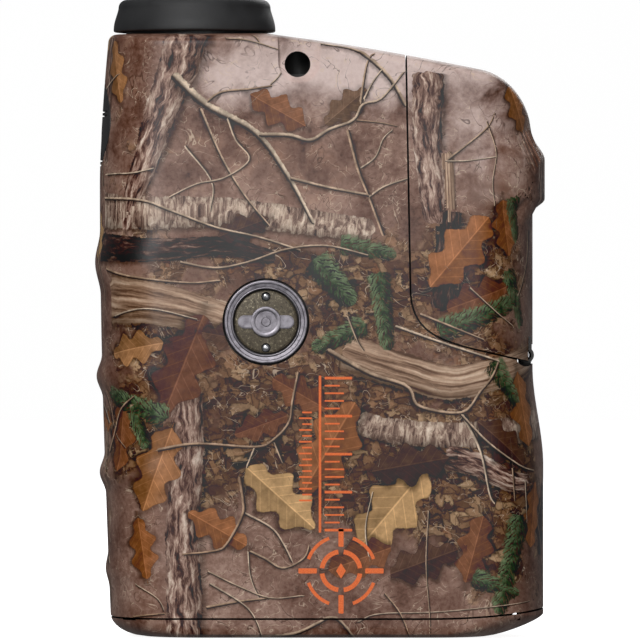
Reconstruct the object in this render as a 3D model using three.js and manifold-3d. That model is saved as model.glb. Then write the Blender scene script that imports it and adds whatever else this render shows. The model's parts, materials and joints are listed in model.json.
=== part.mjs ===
// Pocket laser rangefinder: a moulded body in two halves, a battery door on a hinge, an eyepiece
// with a focusing ring, two buttons, and the optics and electronics that sit inside.
// Millimetres. +Z runs from the lens end up to the eyepiece, +X to the underside of the instrument,
// -X to the side with the buttons, and -Y out of the side that carries the badge.
// The model stands on its lens end with the origin at the centre of that flat face.

import * as THREE from 'three';
import { mergeVertices } from 'three/addons/utils/BufferGeometryUtils.js';
import Module from 'manifold-3d';

const wasm = await Module();
wasm.setup();

// ---------------------------------------------------------------- driving dimensions

const WALL = 2.0;                 // moulded wall
const GAP = 0.15;                 // half of the gap between two moulded pieces
const EPS = 0.05;                 // gap between faces that bear on each other

const NECK_TOP = 98.3;            // top of the body, under the eyecup
const FLOOR_UNDERCUT = 0.05;      // the moulding is trimmed flat this far above its crown
const HALF_DEPTH_FRONT = 18.0;    // half thickness at the lens end
const HALF_DEPTH_REAR = 15.2;     // half thickness at the eyepiece end
const TAPER_START = 45.0;
const TAPER_LENGTH = 50.0;

const LEFT_FOOT = -34.15;         // button side, at the lens end
const LEFT_SWELL = 1.9;
const LEFT_WIDEST_Z = 74.0;
const LEFT_LEAN = 1.5;            // how far the same side comes back in at the neck
const FINGER_RIDGES = [           // height of the centre, half width, how far it stands out
  [61.0, 5.4, 0.85],
  [42.4, 3.6, 0.95],
  [26.7, 3.4, 0.9],
  [11.0, 3.2, 0.5],
];
const NECK_CORNER = 1.2;

const RIGHT_FOOT = 36.55;         // underside, at the lens end
const RIGHT_WAIST = 34.8;         // underside, along the battery door
const WAIST_FROM = 28.0;
const WAIST_TO = 44.0;
const LIP_OUT = 2.0;              // finger lip on the battery door
const LIP_BOTTOM = 69.2;
const LIP_TOP = 77.8;
const LIP_RISE = 2.2;
const LIP_FALL = 4.2;

const SHOULDER_X = -8.6;          // where the top starts to slope down to the underside
const SHOULDER_SLOPE = 0.1688;
const SHOULDER_CROWN = 0.35;
const HEEL_X = 26.0;              // where the sloping top turns down into the underside
const HEEL_RUN = 8.5;
const HEEL_DROP = 9.2;

const FOOT_CORNER_HEIGHT = 3.6;
const LEFT_CORNER_RUN = 6.0;
const RIGHT_CORNER_RUN = 9.3;

const SIDE_ROUND_LEFT = 11.0;     // how far in from the outline the side face becomes flat
const SIDE_ROUND_RIGHT = 10.0;
const SIDE_POWER = 2.3;
const TOP_ROUND = 2.6;
const TOP_POWER = 5.0;
const FOOT_ROUND = 2.5;
const FOOT_POWER = 6.0;

const BEZEL_HEIGHT = 3.2;         // seam between the front bezel and the shells
const BEZEL_RISE_X = 18.0;
const BEZEL_RISE = 1.35;

const SIGHT_X = -20.55;           // axis of the eyepiece and of the viewing objective
const LASER_X = 10.25;            // axis of the laser lens
const SIGHT_APERTURE = 8.8;
const LASER_APERTURE = 8.0;

const HINGE_X = 33.55;            // battery door hinge
const HINGE_Z = 45.9;
const HINGE_PIN_R = 0.55;
const HINGE_BORE_R = 0.85;
const HINGE_KNUCKLE_R = 1.3;
const HINGE_CORNER_R = 1.6;
const HINGE_HALF_LENGTH = 8.6;
const HINGE_CENTRE_HALF = 4.6;

const PAD_Z = 83.3;               // rubber pad around the two buttons
const PAD_HALF_Y = 9.2;
const PAD_HALF_Z = 7.2;
const PAD_THICK = 1.8;
const FIRE_Z = 81.2;
const FIRE_HALF_Y = 4.7;
const FIRE_HALF_Z = 3.5;
const MODE_Z = 87.9;
const MODE_HALF_Y = 2.7;
const MODE_HALF_Z = 1.3;
const BUTTON_GAP = 0.3;
const BUTTON_FLANGE = 0.7;

const BADGE_X = -8.75;
const BADGE_Z = 51.3;
const BADGE_R = 6.8;

const LANYARD_X = -3.65;
const LANYARD_Z = 93.1;
const LANYARD_R = 2.1;

const CELL_X = 23.75;             // battery axis
const CELL_R = 7.8;
const CELL_BOTTOM = 54.0;
const CELL_LENGTH = 26.6;

const SCREW_SPOTS = [[-4.25, 12.0], [29.25, 12.0], [29.25, 40.0], [-4.25, 82.0]];
const BOSS_R = 2.5;
const SCREW_R = 0.95;
const SCREW_HOLE_R = 1.25;
const SCREW_HEAD_R = 1.9;
const SCREW_HEAD_HEIGHT = 1.4;
const SCREW_SEAT_DEPTH = 4.2;     // head seat, below the outer surface
const SCREW_LENGTH = 18.0;

const BIG = 80;                   // larger than the body, for cutting slabs
const OUTSIDE_SIDES = 32;         // facets of a round piece that shows
const INSIDE_SIDES = 16;          // facets of a round piece inside the body

// ---------------------------------------------------------------- materials

function finish(color, roughness, metalness) {
  return new THREE.MeshStandardMaterial({ color, roughness, metalness });
}
const CAMO = finish(0x7c6254, 0.55, 0);
const BLACK_PLASTIC = finish(0x1c1c1d, 0.5, 0);
const BLACK_RUBBER = finish(0x29292a, 0.75, 0);
const SATIN_METAL = finish(0x8f8d94, 0.35, 1);
const DARK_METAL = finish(0x3c3b3e, 0.45, 1);
const STEEL = finish(0xb4b6ba, 0.3, 1);
const BRASS = finish(0xc09a4a, 0.35, 1);
const BRONZE_ENAMEL = finish(0x4f4636, 0.7, 0);
const GLASS = finish(0xc8d6dc, 0.05, 0);
const RUBY_GLASS = finish(0x6a2434, 0.08, 0);
const BOARD_GREEN = finish(0x1d4a2e, 0.6, 0);
const CELL_SLEEVE = finish(0x2d5f8a, 0.45, 0);

// ---------------------------------------------------------------- solids

function solid(geometry) {
  const bare = geometry.clone();
  bare.deleteAttribute('normal');
  bare.deleteAttribute('uv');
  const merged = mergeVertices(bare, 1e-4);
  const vertProperties = new Float32Array(merged.attributes.position.array);
  const triVerts = new Uint32Array(merged.index.array);
  return new wasm.Manifold(new wasm.Mesh({ numProp: 3, vertProperties, triVerts }));
}

function geometryOf(manifold) {
  const mesh = manifold.getMesh();
  const geometry = new THREE.BufferGeometry();
  geometry.setAttribute('position', new THREE.BufferAttribute(new Float32Array(mesh.vertProperties), 3));
  geometry.setIndex(new THREE.BufferAttribute(new Uint32Array(mesh.triVerts), 1));
  return geometry;
}

function signedVolume(geometry) {
  const p = geometry.attributes.position;
  const corner = [new THREE.Vector3(), new THREE.Vector3(), new THREE.Vector3()];
  const count = geometry.index ? geometry.index.count : p.count;
  let volume = 0;
  for (let i = 0; i < count; i += 3) {
    for (let k = 0; k < 3; k++) {
      corner[k].fromBufferAttribute(p, geometry.index ? geometry.index.getX(i + k) : i + k);
    }
    volume += corner[0].dot(corner[1].cross(corner[2])) / 6;
  }
  return volume;
}

// Turns a geometry's faces over if they point inward.
function outward(geometry) {
  if (signedVolume(geometry) > 0) return geometry;
  const index = geometry.index;
  for (let i = 0; i < index.count; i += 3) {
    const first = index.getX(i);
    index.setX(i, index.getX(i + 2));
    index.setX(i + 2, first);
  }
  return geometry;
}

// A turned piece about Z. The profile is a list of [radius, height].
function turned(profile, sides = INSIDE_SIDES) {
  const points = profile.map(([r, h]) => new THREE.Vector2(r, h));
  const geometry = new THREE.LatheGeometry(points, sides);
  geometry.rotateX(Math.PI / 2);
  return outward(geometry);
}

function ring(rOuter, rInner, z0, z1, sides = INSIDE_SIDES) {
  return turned([[rInner, z0], [rOuter, z0], [rOuter, z1], [rInner, z1], [rInner, z0]], sides);
}

function disc(r, z0, z1, sides = OUTSIDE_SIDES) {
  return turned([[0, z0], [r, z0], [r, z1], [0, z1]], sides);
}

// A lens about Z: flat rim, two bulging faces.
function lens(r, rimBottom, rimTop, bulgeDown, bulgeUp, sides = INSIDE_SIDES) {
  const STEPS = 3;
  const profile = [];
  for (let i = 0; i <= STEPS; i++) {
    const t = i / STEPS;
    profile.push([r * t, rimBottom - bulgeDown * (1 - t * t)]);
  }
  for (let i = STEPS; i >= 0; i--) {
    const t = i / STEPS;
    profile.push([r * t, rimTop + bulgeUp * (1 - t * t)]);
  }
  return turned(profile, sides);
}

function box(x0, x1, y0, y1, z0, z1) {
  const geometry = new THREE.BoxGeometry(x1 - x0, y1 - y0, z1 - z0);
  geometry.translate((x0 + x1) / 2, (y0 + y1) / 2, (z0 + z1) / 2);
  return geometry;
}

// A rod along Y through (x, z).
function rodY(r, x, z, y0, y1, sides = INSIDE_SIDES) {
  const geometry = new THREE.CylinderGeometry(r, r, y1 - y0, sides);
  geometry.translate(x, (y0 + y1) / 2, z);
  return geometry;
}

// A rod along Z through (x, y).
function rodZ(r, x, y, z0, z1, sides = INSIDE_SIDES) {
  const geometry = new THREE.CylinderGeometry(r, r, z1 - z0, sides);
  geometry.rotateX(Math.PI / 2);
  geometry.translate(x, y, (z0 + z1) / 2);
  return geometry;
}

// A rod along X through (y, z), which may be oval.
function rodX(halfY, halfZ, y, z, x0, x1, sides = INSIDE_SIDES) {
  const geometry = new THREE.CylinderGeometry(1, 1, x1 - x0, sides);
  geometry.rotateZ(Math.PI / 2);
  geometry.scale(1, halfY, halfZ);
  geometry.translate((x0 + x1) / 2, y, z);
  return geometry;
}

// A shape drawn in X and Z, as thick as y0 to y1.
function slabY(shape, y0, y1, curveSegments = 12) {
  const geometry = new THREE.ExtrudeGeometry(shape, { depth: y1 - y0, bevelEnabled: false, curveSegments });
  geometry.rotateX(Math.PI / 2);
  geometry.translate(0, y1, 0);
  return geometry;
}

// ---------------------------------------------------------------- outer form

function smoothStep(from, to, value) {
  const t = Math.min(Math.max((value - from) / (to - from), 0), 1);
  return t * t * (3 - 2 * t);
}

// Height of a rounded edge, 0 at the outline and 1 where the face is flat.
function edgeRise(distance, reach, power) {
  if (distance <= 0) return 0;
  if (distance >= reach) return 1;
  return (1 - (1 - distance / reach) ** power) ** (1 / power);
}

function cornerInset(z, height, run, power) {
  if (z >= height) return 0;
  const t = Math.min((height - z) / height, 1);
  return run * (1 - (1 - t ** power) ** (1 / power));
}

function leftEdge(z) {
  const swell = LEFT_SWELL * Math.sin((Math.PI / 2) * Math.min(z / LEFT_WIDEST_Z, 1));
  const above = Math.max(0, (z - LEFT_WIDEST_Z) / (NECK_TOP - LEFT_WIDEST_Z));
  let x = LEFT_FOOT - swell + LEFT_LEAN * above ** 1.6;
  for (const [centre, halfWidth, out] of FINGER_RIDGES) {
    const t = Math.min(Math.abs(z - centre) / halfWidth, 1);
    x -= out * (0.5 + 0.5 * Math.cos(Math.PI * t));
  }
  x += cornerInset(z, FOOT_CORNER_HEIGHT, LEFT_CORNER_RUN, 2);
  return x + cornerInset(NECK_TOP - z, NECK_CORNER, NECK_CORNER, 2);
}

function rightEdge(z, lip = LIP_OUT) {
  const waist = smoothStep(WAIST_FROM, WAIST_TO, z);
  let x = RIGHT_FOOT + (RIGHT_WAIST - RIGHT_FOOT) * waist;
  const rise = smoothStep(LIP_BOTTOM, LIP_BOTTOM + LIP_RISE, z);
  x += lip * rise * (1 - smoothStep(LIP_TOP, LIP_TOP + LIP_FALL, z));
  return x - cornerInset(z, FOOT_CORNER_HEIGHT, RIGHT_CORNER_RUN, 1.3);
}

function topEdge(x) {
  const along = Math.min(Math.max((x - SHOULDER_X) / (HEEL_X - SHOULDER_X), 0), 1);
  const slope = NECK_TOP - SHOULDER_SLOPE * Math.max(0, x - SHOULDER_X);
  const heel = Math.min(Math.max((x - HEEL_X) / HEEL_RUN, 0), 1);
  return slope + SHOULDER_CROWN * Math.sin(Math.PI * along) - HEEL_DROP * (1 - Math.sqrt(1 - heel * heel));
}

function halfDepth(z) {
  const taper = smoothStep(TAPER_START, TAPER_START + TAPER_LENGTH, z);
  return HALF_DEPTH_FRONT + (HALF_DEPTH_REAR - HALF_DEPTH_FRONT) * taper;
}

// Distance of the outer surface from the middle plane, for a form made thinner by inset.
function surfaceY(x, z, inset = 0) {
  const lip = inset > 0 ? 0 : LIP_OUT;
  const fromLeft = edgeRise(x - leftEdge(z) - inset, SIDE_ROUND_LEFT, SIDE_POWER);
  const fromRight = edgeRise(rightEdge(z, lip) - inset - x, SIDE_ROUND_RIGHT, SIDE_POWER);
  const fromTop = edgeRise(topEdge(x) - inset - z, TOP_ROUND, TOP_POWER);
  const fromFoot = edgeRise(z + FLOOR_UNDERCUT - inset, FOOT_ROUND, FOOT_POWER);
  return (halfDepth(z) - inset) * fromLeft * fromRight * fromTop * fromFoot;
}

// Distances from an edge, closer together where the edge is rounder.
function edgeSteps(reach, count) {
  const steps = [];
  for (let i = 0; i < count; i++) steps.push(reach * (1 - Math.cos((Math.PI / 2) * (i / count))));
  return steps;
}

// The body's form as one closed surface, inset from the outside by a wall.
function bodyForm(inset, sideSteps, middleColumns, middleRows) {
  const left = edgeSteps(SIDE_ROUND_LEFT, sideSteps);
  const right = edgeSteps(SIDE_ROUND_RIGHT, sideSteps);
  const low = edgeSteps(FOOT_ROUND, 3);
  const high = edgeSteps(TOP_ROUND, 3);
  const lip = inset > 0 ? 0 : LIP_OUT;
  const columns = [];
  for (const step of left) columns.push([0, step]);
  for (let i = 0; i <= middleColumns; i++) columns.push([i / middleColumns, null]);
  for (const step of right.reverse()) columns.push([1, -step]);
  const rows = [];
  for (const step of low) rows.push([0, step]);
  for (let i = 0; i <= middleRows; i++) rows.push([i / middleRows, null]);
  for (const step of high.reverse()) rows.push([1, -step]);

  function place([share, step], low0, high0, lowReach, highReach) {
    if (step !== null) return (share === 0 ? low0 : high0) + step;
    return low0 + lowReach + (high0 - highReach - low0 - lowReach) * share;
  }
  function point(column, row) {
    const bottom = inset - FLOOR_UNDERCUT;
    let x = 0;
    let z = NECK_TOP / 2;
    for (let pass = 0; pass < 12; pass++) {
      z = place(row, bottom, topEdge(x) - inset, FOOT_ROUND, TOP_ROUND);
      x = place(column, leftEdge(z) + inset, rightEdge(z, lip) - inset, SIDE_ROUND_LEFT, SIDE_ROUND_RIGHT);
    }
    return [x, z];
  }

  const positions = [];
  const nodeOf = [];
  const lastColumn = columns.length - 1;
  const lastRow = rows.length - 1;
  for (const side of [-1, 1]) {
    const grid = [];
    for (let j = 0; j <= lastRow; j++) {
      const line = [];
      for (let i = 0; i <= lastColumn; i++) {
        const edge = i === 0 || i === lastColumn || j === 0 || j === lastRow;
        if (side === 1 && edge) {
          line.push(nodeOf[0][j][i]);
          continue;
        }
        const [x, z] = point(columns[i], rows[j]);
        line.push(positions.length / 3);
        positions.push(x, edge ? 0 : side * surfaceY(x, z, inset), z);
      }
      grid.push(line);
    }
    nodeOf.push(grid);
  }
  const index = [];
  for (let s = 0; s < 2; s++) {
    for (let j = 0; j < lastRow; j++) {
      for (let i = 0; i < lastColumn; i++) {
        const a = nodeOf[s][j][i];
        const b = nodeOf[s][j][i + 1];
        const c = nodeOf[s][j + 1][i + 1];
        const d = nodeOf[s][j + 1][i];
        if (s === 0) index.push(a, b, c, a, c, d);
        else index.push(a, c, b, a, d, c);
      }
    }
  }
  const geometry = new THREE.BufferGeometry();
  geometry.setAttribute('position', new THREE.BufferAttribute(new Float32Array(positions), 3));
  geometry.setIndex(index);
  return outward(geometry);
}

const outer = solid(bodyForm(0, 4, 3, 26));
const cavity = solid(bodyForm(WALL, 3, 2, 6));
const fitted = solid(bodyForm(WALL + 0.4, 3, 2, 6));     // what fits inside with a working gap

// ---------------------------------------------------------------- seams

// The front bezel's seam, drawn as everything below it.
function belowBezelSeam(shift) {
  const shape = new THREE.Shape();
  shape.moveTo(-BIG, -BIG);
  shape.lineTo(BIG, -BIG);
  shape.lineTo(BIG, BEZEL_HEIGHT + BEZEL_RISE * 1.2 + shift);
  shape.lineTo(2 * BEZEL_RISE_X + 2, BEZEL_HEIGHT + BEZEL_RISE * 1.2 + shift);
  shape.quadraticCurveTo(BEZEL_RISE_X + 9, BEZEL_HEIGHT + shift, BEZEL_RISE_X, BEZEL_HEIGHT + shift);
  shape.lineTo(-BIG, BEZEL_HEIGHT + shift);
  shape.closePath();
  return solid(slabY(shape, -BIG, BIG, 4));
}

// The battery door's outline: down from the top, round a corner, and out to the hinge.
function doorOutline(shift) {
  const shape = new THREE.Shape();
  shape.moveTo(13.75 + shift, BIG * 1.5);
  shape.lineTo(13.95 + shift, 94.7);
  shape.lineTo(14.65 + shift, 56.2);
  shape.bezierCurveTo(14.9 + shift, 49.6 + shift, 19.5, 48.3 + shift, 25.0, 46.85 + shift);
  shape.lineTo(34.85, 44.6 + shift);
  shape.lineTo(BIG, 44.0 + shift);
  shape.lineTo(BIG, BIG * 1.5);
  shape.closePath();
  return solid(slabY(shape, -BIG, BIG, 8));
}

function hingeRod(r, y0, y1) {
  return solid(rodY(r, HINGE_X, HINGE_Z, y0, y1, 20));
}

// ---------------------------------------------------------------- body shells

const padOpening = solid(
  rodX(PAD_HALF_Y + GAP, PAD_HALF_Z + GAP, 0, PAD_Z, -BIG, LEFT_FOOT + 4, OUTSIDE_SIDES),
);

function bossSide(side, x, z) {
  const boss = solid(rodY(BOSS_R, x, z, side < 0 ? -BIG / 4 : GAP, side < 0 ? -GAP : BIG / 4, 16));
  return boss.intersect(outer);
}

function halfShell(side) {
  const y0 = side < 0 ? -BIG : GAP;
  const y1 = side < 0 ? -GAP : BIG;
  let shell = outer.subtract(cavity);
  shell = shell.intersect(solid(box(-BIG, BIG, y0, y1, -BIG, 2 * BIG)));
  for (const [x, z] of SCREW_SPOTS) shell = shell.add(bossSide(side, x, z));
  shell = shell.subtract(belowBezelSeam(GAP));
  shell = shell.subtract(doorOutline(-GAP));
  shell = shell.subtract(hingeRod(HINGE_CORNER_R + 0.25, -BIG, BIG));
  shell = shell.subtract(padOpening);
  shell = shell.subtract(solid(rodZ(11.5, SIGHT_X, 0, 90, 2 * BIG, OUTSIDE_SIDES)));
  return shell;
}

// Half of the hinge's middle knuckle.
function middleKnuckle(side) {
  const y0 = side < 0 ? -HINGE_CENTRE_HALF : GAP;
  const y1 = side < 0 ? -GAP : HINGE_CENTRE_HALF;
  const web = solid(box(HINGE_X - 1.0, HINGE_X + 0.9, y0, y1, 42.6, HINGE_Z));
  const knuckle = hingeRod(HINGE_KNUCKLE_R, y0, y1).add(web);
  return knuckle.subtract(hingeRod(HINGE_BORE_R, -BIG, BIG));
}

function leftShell() {
  let shell = halfShell(-1).add(middleKnuckle(-1));
  for (const [x, z] of SCREW_SPOTS) {
    shell = shell.subtract(solid(rodY(SCREW_HOLE_R, x, z, -10.5, 1, 16)));
  }
  // Backing and recess for the badge.
  const badgeFace = surfaceY(BADGE_X, BADGE_Z);
  const backing = solid(rodY(BADGE_R + 1.6, BADGE_X, BADGE_Z, -badgeFace + 1.2, -badgeFace + 3.2));
  shell = shell.add(backing.intersect(outer));
  shell = shell.subtract(solid(rodY(BADGE_R + 0.25, BADGE_X, BADGE_Z, -BIG, -badgeFace + 1.5, OUTSIDE_SIDES)));
  // Lanyard eye: a block inside the wall, with a hole from the side that meets a hole from the top.
  const lug = solid(box(-8.0, 0.4, -BIG, -4.6, 88.8, 97.0)).intersect(outer);
  shell = shell.add(lug);
  const mouth = new THREE.Shape();
  mouth.moveTo(-6.75, 93.4);
  mouth.absarc(-3.4, 93.4, 3.35, Math.PI, 2 * Math.PI, false);
  mouth.lineTo(0.3, 99.5);
  mouth.lineTo(-6.9, 99.5);
  mouth.closePath();
  shell = shell.subtract(solid(slabY(mouth, -BIG, -surfaceY(LANYARD_X, LANYARD_Z) + 1.0, 12)));
  shell = shell.subtract(solid(rodY(LANYARD_R, LANYARD_X, LANYARD_Z, -BIG, -8.5, 24)));
  return shell.subtract(solid(rodZ(LANYARD_R, LANYARD_X, -8.6, 91.6, BIG * 1.5, 24)));
}

function screwSeat(x, z) {
  return surfaceY(x, z) - SCREW_SEAT_DEPTH;
}

function rightShell() {
  let shell = halfShell(1).add(middleKnuckle(1));
  for (const [x, z] of SCREW_SPOTS) {
    shell = shell.subtract(solid(rodY(SCREW_HOLE_R, x, z, 0, BIG, 16)));
    shell = shell.subtract(solid(rodY(SCREW_HEAD_R + 0.3, x, z, screwSeat(x, z), BIG, 20)));
  }
  return shell;
}

function shellScrew(x, z) {
  const seat = screwSeat(x, z) + EPS;
  const head = solid(rodY(SCREW_HEAD_R, x, z, seat, seat + SCREW_HEAD_HEIGHT, 20));
  const shank = solid(rodY(SCREW_R, x, z, seat - SCREW_LENGTH, seat + 0.2, 12));
  const slotDepth = seat + SCREW_HEAD_HEIGHT - 0.7;
  const slot = solid(box(x - 1.2, x + 1.2, slotDepth, BIG, z - 0.25, z + 0.25));
  const crossSlot = solid(box(x - 0.25, x + 0.25, slotDepth, BIG, z - 1.2, z + 1.2));
  return head.add(shank).subtract(slot.add(crossSlot));
}

function frontBezel() {
  let bezel = outer.intersect(belowBezelSeam(-GAP));
  bezel = bezel.intersect(solid(box(-BIG, BIG, -BIG, BIG, 0, BIG)));
  bezel = bezel.subtract(solid(box(-32.0, 32.5, -15.2, 15.2, BEZEL_HEIGHT - 0.3, BIG)));
  const sight = disc(SIGHT_APERTURE, -BIG, BIG).translate(SIGHT_X, 0, 0);
  const laser = disc(LASER_APERTURE, -BIG, BIG).translate(LASER_X, 0, 0);
  return bezel.subtract(solid(sight)).subtract(solid(laser));
}

// ---------------------------------------------------------------- battery door and bay

function batteryDoor() {
  let door = outer.intersect(doorOutline(GAP)).subtract(cavity);
  // Rounded end about the hinge, with a notch for the shells' middle knuckle.
  const endCorner = solid(box(HINGE_X, BIG, -BIG, BIG, -BIG, HINGE_Z));
  door = door.subtract(endCorner.subtract(hingeRod(HINGE_CORNER_R, -BIG / 2, BIG / 2)));
  for (const side of [-1, 1]) {
    const y0 = side < 0 ? -HINGE_HALF_LENGTH : HINGE_CENTRE_HALF + 0.3;
    const y1 = side < 0 ? -HINGE_CENTRE_HALF - 0.3 : HINGE_HALF_LENGTH;
    const web = solid(box(HINGE_X - 1.0, HINGE_X + 0.9, y0, y1, HINGE_Z, HINGE_Z + 3));
    door = door.add(hingeRod(HINGE_KNUCKLE_R, y0, y1)).add(web);
  }
  const notch = HINGE_CENTRE_HALF + 0.3;
  door = door.subtract(solid(box(HINGE_X - 2.2, BIG, -notch, notch, 40, HINGE_Z + 1.75)));
  return door.subtract(hingeRod(HINGE_BORE_R, -HINGE_HALF_LENGTH - 0.4, HINGE_HALF_LENGTH + 0.4));
}

function batteryHolder() {
  const block = solid(box(12.0, 27.2, -12.4, 12.4, 49.6, 88.0)).intersect(fitted);
  const trough = solid(rodZ(CELL_R + 0.4, CELL_X, 0, 51.0, 84.2, 28));
  const mouth = solid(box(CELL_X, BIG, -CELL_R - 0.4, CELL_R + 0.4, 51.0, 84.2));
  return block.subtract(trough).subtract(mouth);
}

function batteryCell() {
  const top = CELL_BOTTOM + CELL_LENGTH;
  return turned([
    [0, CELL_BOTTOM], [CELL_R - 0.5, CELL_BOTTOM], [CELL_R, CELL_BOTTOM + 0.5],
    [CELL_R, top - 0.6], [CELL_R - 0.6, top], [3.2, top], [3.2, top + 0.7], [0, top + 0.7],
  ], 24);
}

// Conical spring wound from round wire.
function contactSpring() {
  const TURNS = 2.5;
  const STEPS_PER_TURN = 8;
  const points = [];
  for (let i = 0; i <= TURNS * STEPS_PER_TURN; i++) {
    const t = i / (TURNS * STEPS_PER_TURN);
    const angle = t * TURNS * 2 * Math.PI;
    const r = 3.2 - 1.0 * t;
    points.push(new THREE.Vector3(r * Math.cos(angle), r * Math.sin(angle), 51.5 + 2.0 * t));
  }
  const wire = new THREE.Shape();
  wire.absarc(0, 0, 0.3, 0, 2 * Math.PI, false);
  return new THREE.ExtrudeGeometry(wire, {
    steps: TURNS * STEPS_PER_TURN,
    extrudePath: new THREE.CatmullRomCurve3(points),
    curveSegments: 3,
    bevelEnabled: false,
  });
}

function doorGasket() {
  const HALF_Y = 10.4;
  const LOW = 49.8;
  const HIGH = 85.8;
  const frame = solid(box(27.45, 28.5, -HALF_Y, HALF_Y, LOW, HIGH));
  const window = solid(box(20, 35, -CELL_R - 0.6, CELL_R + 0.6, LOW + 1.6, HIGH - 1.6));
  return frame.subtract(window);
}

// ---------------------------------------------------------------- buttons

// The moulding's own skin between two depths, seen through an oval on the button side.
function skinOval(skinOuter, skinInner, halfY, halfZ, z) {
  const oval = solid(rodX(halfY, halfZ, 0, z, -BIG, LEFT_FOOT + 4, 24));
  return skinOuter.subtract(skinInner).intersect(oval);
}

const padInner = solid(bodyForm(PAD_THICK, 4, 2, 10));
const flangeOuter = solid(bodyForm(PAD_THICK + 0.2, 4, 2, 10));
const flangeInner = solid(bodyForm(PAD_THICK + 0.8, 4, 2, 10));

function buttonPad() {
  let pad = skinOval(outer, padInner, PAD_HALF_Y - GAP, PAD_HALF_Z - GAP, PAD_Z);
  pad = pad.subtract(solid(rodX(FIRE_HALF_Y, FIRE_HALF_Z, 0, FIRE_Z, -BIG, 0, 36)));
  return pad.subtract(solid(rodX(MODE_HALF_Y, MODE_HALF_Z, 0, MODE_Z, -BIG, 0, 36)));
}

function button(halfY, halfZ, z) {
  const cap = skinOval(outer, flangeInner, halfY - BUTTON_GAP, halfZ - BUTTON_GAP, z);
  const flange = skinOval(flangeOuter, flangeInner, halfY + BUTTON_FLANGE, halfZ + BUTTON_FLANGE / 2, z);
  return cap.add(flange);
}

function tactSwitch(z, half, plungerTip) {
  const body = solid(box(-31.75, -30.85, -half, half, z - half, z + half));
  return body.add(solid(rodX(half * 0.45, half * 0.45, 0, z, plungerTip, -31.5, 14)));
}

// ---------------------------------------------------------------- optics

function opticalChassis() {
  let plate = solid(box(-30.0, -11.0, 11.9, 13.4, 12.0, 70.0)).intersect(fitted);
  for (const z of [20, 32, 56]) plate = plate.subtract(solid(rodY(4.5, SIGHT_X, z, 0, BIG, 24)));
  return plate;
}

function objectiveBarrel() {
  return turned([
    [10.1, 3.6], [11.2, 3.6], [11.2, 12], [10.6, 13], [10.6, 44.5], [9.6, 44.5],
    [9.6, 9.8], [9.0, 9.8], [9.0, 9.0], [10.1, 9.0], [10.1, 3.6],
  ], 24);
}

function laserBarrel() {
  return turned([
    [8.6, 3.6], [9.6, 3.6], [9.6, 10], [8.9, 11], [8.9, 30], [7.9, 30],
    [7.9, 9.4], [7.4, 9.4], [7.4, 8.6], [8.6, 8.6], [8.6, 3.6],
  ], 24);
}

function roofPrism() {
  const shape = new THREE.Shape();
  shape.moveTo(SIGHT_X - 8.2, 48.2);
  shape.lineTo(SIGHT_X + 8.2, 48.2);
  shape.lineTo(SIGHT_X + 8.2, 58.0);
  shape.lineTo(SIGHT_X + 2.0, 64.4);
  shape.lineTo(SIGHT_X - 8.2, 64.4);
  shape.closePath();
  return slabY(shape, -8.2, 8.2);
}

function prismCage() {
  const shell = solid(box(SIGHT_X - 9.8, SIGHT_X + 9.8, -9.8, 9.8, 46.4, 66.0));
  const room = solid(box(SIGHT_X - 8.6, SIGHT_X + 8.6, -8.6, 8.6, 47.8, BIG));
  const light = solid(rodZ(7.2, SIGHT_X, 0, 40, 50, 32));
  const sideWindow = solid(box(SIGHT_X + 5, SIGHT_X + 12, -2.6, 2.6, 53.4, 58.6));
  return shell.subtract(room).subtract(light).subtract(sideWindow);
}

function receiverDiode() {
  const base = solid(rodX(2.7, 2.7, 0, 56, -8.5, -7.5, 20));
  let diode = base.add(solid(rodX(1.9, 1.9, 0, 56, -10.3, -8.4, 20)));
  for (const z of [54.8, 57.2]) diode = diode.add(solid(rodX(0.25, 0.25, 0, z, -7.6, -4.5, 8)));
  return diode;
}

function receiverMount() {
  const plate = solid(box(-10.45, -8.6, -5, 5, 51, 61));
  return plate.subtract(solid(rodX(2.2, 2.2, 0, 56, -12, -6, 20)));
}

function laserDiode() {
  let diode = solid(turned([[0, 23.5], [1.75, 23.5], [1.75, 26.8], [2.8, 26.8], [2.8, 27.9], [0, 27.9]], 20));
  for (const x of [-0.9, 0.9]) diode = diode.add(solid(rodZ(0.25, x, 0, 27.8, 34, 8)));
  return geometryOf(diode);
}

function eyepieceTube() {
  const tube = solid(turned([
    [8.35, 73], [9.35, 73], [9.35, 90.1], [11.95, 90.9], [11.95, 94.2], [11.5, 94.2],
    [11.5, 91.4], [8.35, 91.4], [8.35, 73],
  ], 24));
  const keyway = solid(box(-1.05, 1.05, -12, -7, 76, 86.4));
  return geometryOf(tube.subtract(keyway));
}

function lensCell() {
  const tube = solid(turned([
    [6.2, 76], [8.0, 76], [8.0, 92.5], [10.1, 92.5], [10.1, 98.4], [9.0, 98.4],
    [9.0, 93.6], [7.0, 93.6], [7.0, 76.9], [6.2, 76.9], [6.2, 76],
  ], 24));
  const key = solid(box(-0.7, 0.7, -8.95, -7.6, 78.2, 84.2));
  return geometryOf(tube.add(key));
}

function diopterRing() {
  return turned([
    [10.4, 92.9], [11.2, 92.9], [11.2, 98.65], [12.2, 98.65], [12.2, 99.6], [10.4, 99.6], [10.4, 92.9],
  ], 24);
}

function eyecup() {
  const profile = [[12.5, 98.7], [13.25, 98.7], [13.25, 99.3], [12.95, 100.6], [12.55, 102.4]];
  const CROWN_STEPS = 4;
  const CROWN_R = 1.35;
  const crownX = 12.45 - CROWN_R;
  const crownZ = 104 - CROWN_R;
  for (let i = 0; i <= CROWN_STEPS; i++) {
    const angle = (Math.PI * i) / CROWN_STEPS;
    profile.push([crownX + CROWN_R * Math.cos(angle), crownZ + CROWN_R * Math.sin(angle)]);
  }
  profile.push([10.0, 100.3], [10.3, 99.9], [12.5, 99.9], [12.5, 98.7]);
  return turned(profile, OUTSIDE_SIDES);
}

// ---------------------------------------------------------------- electronics

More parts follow.
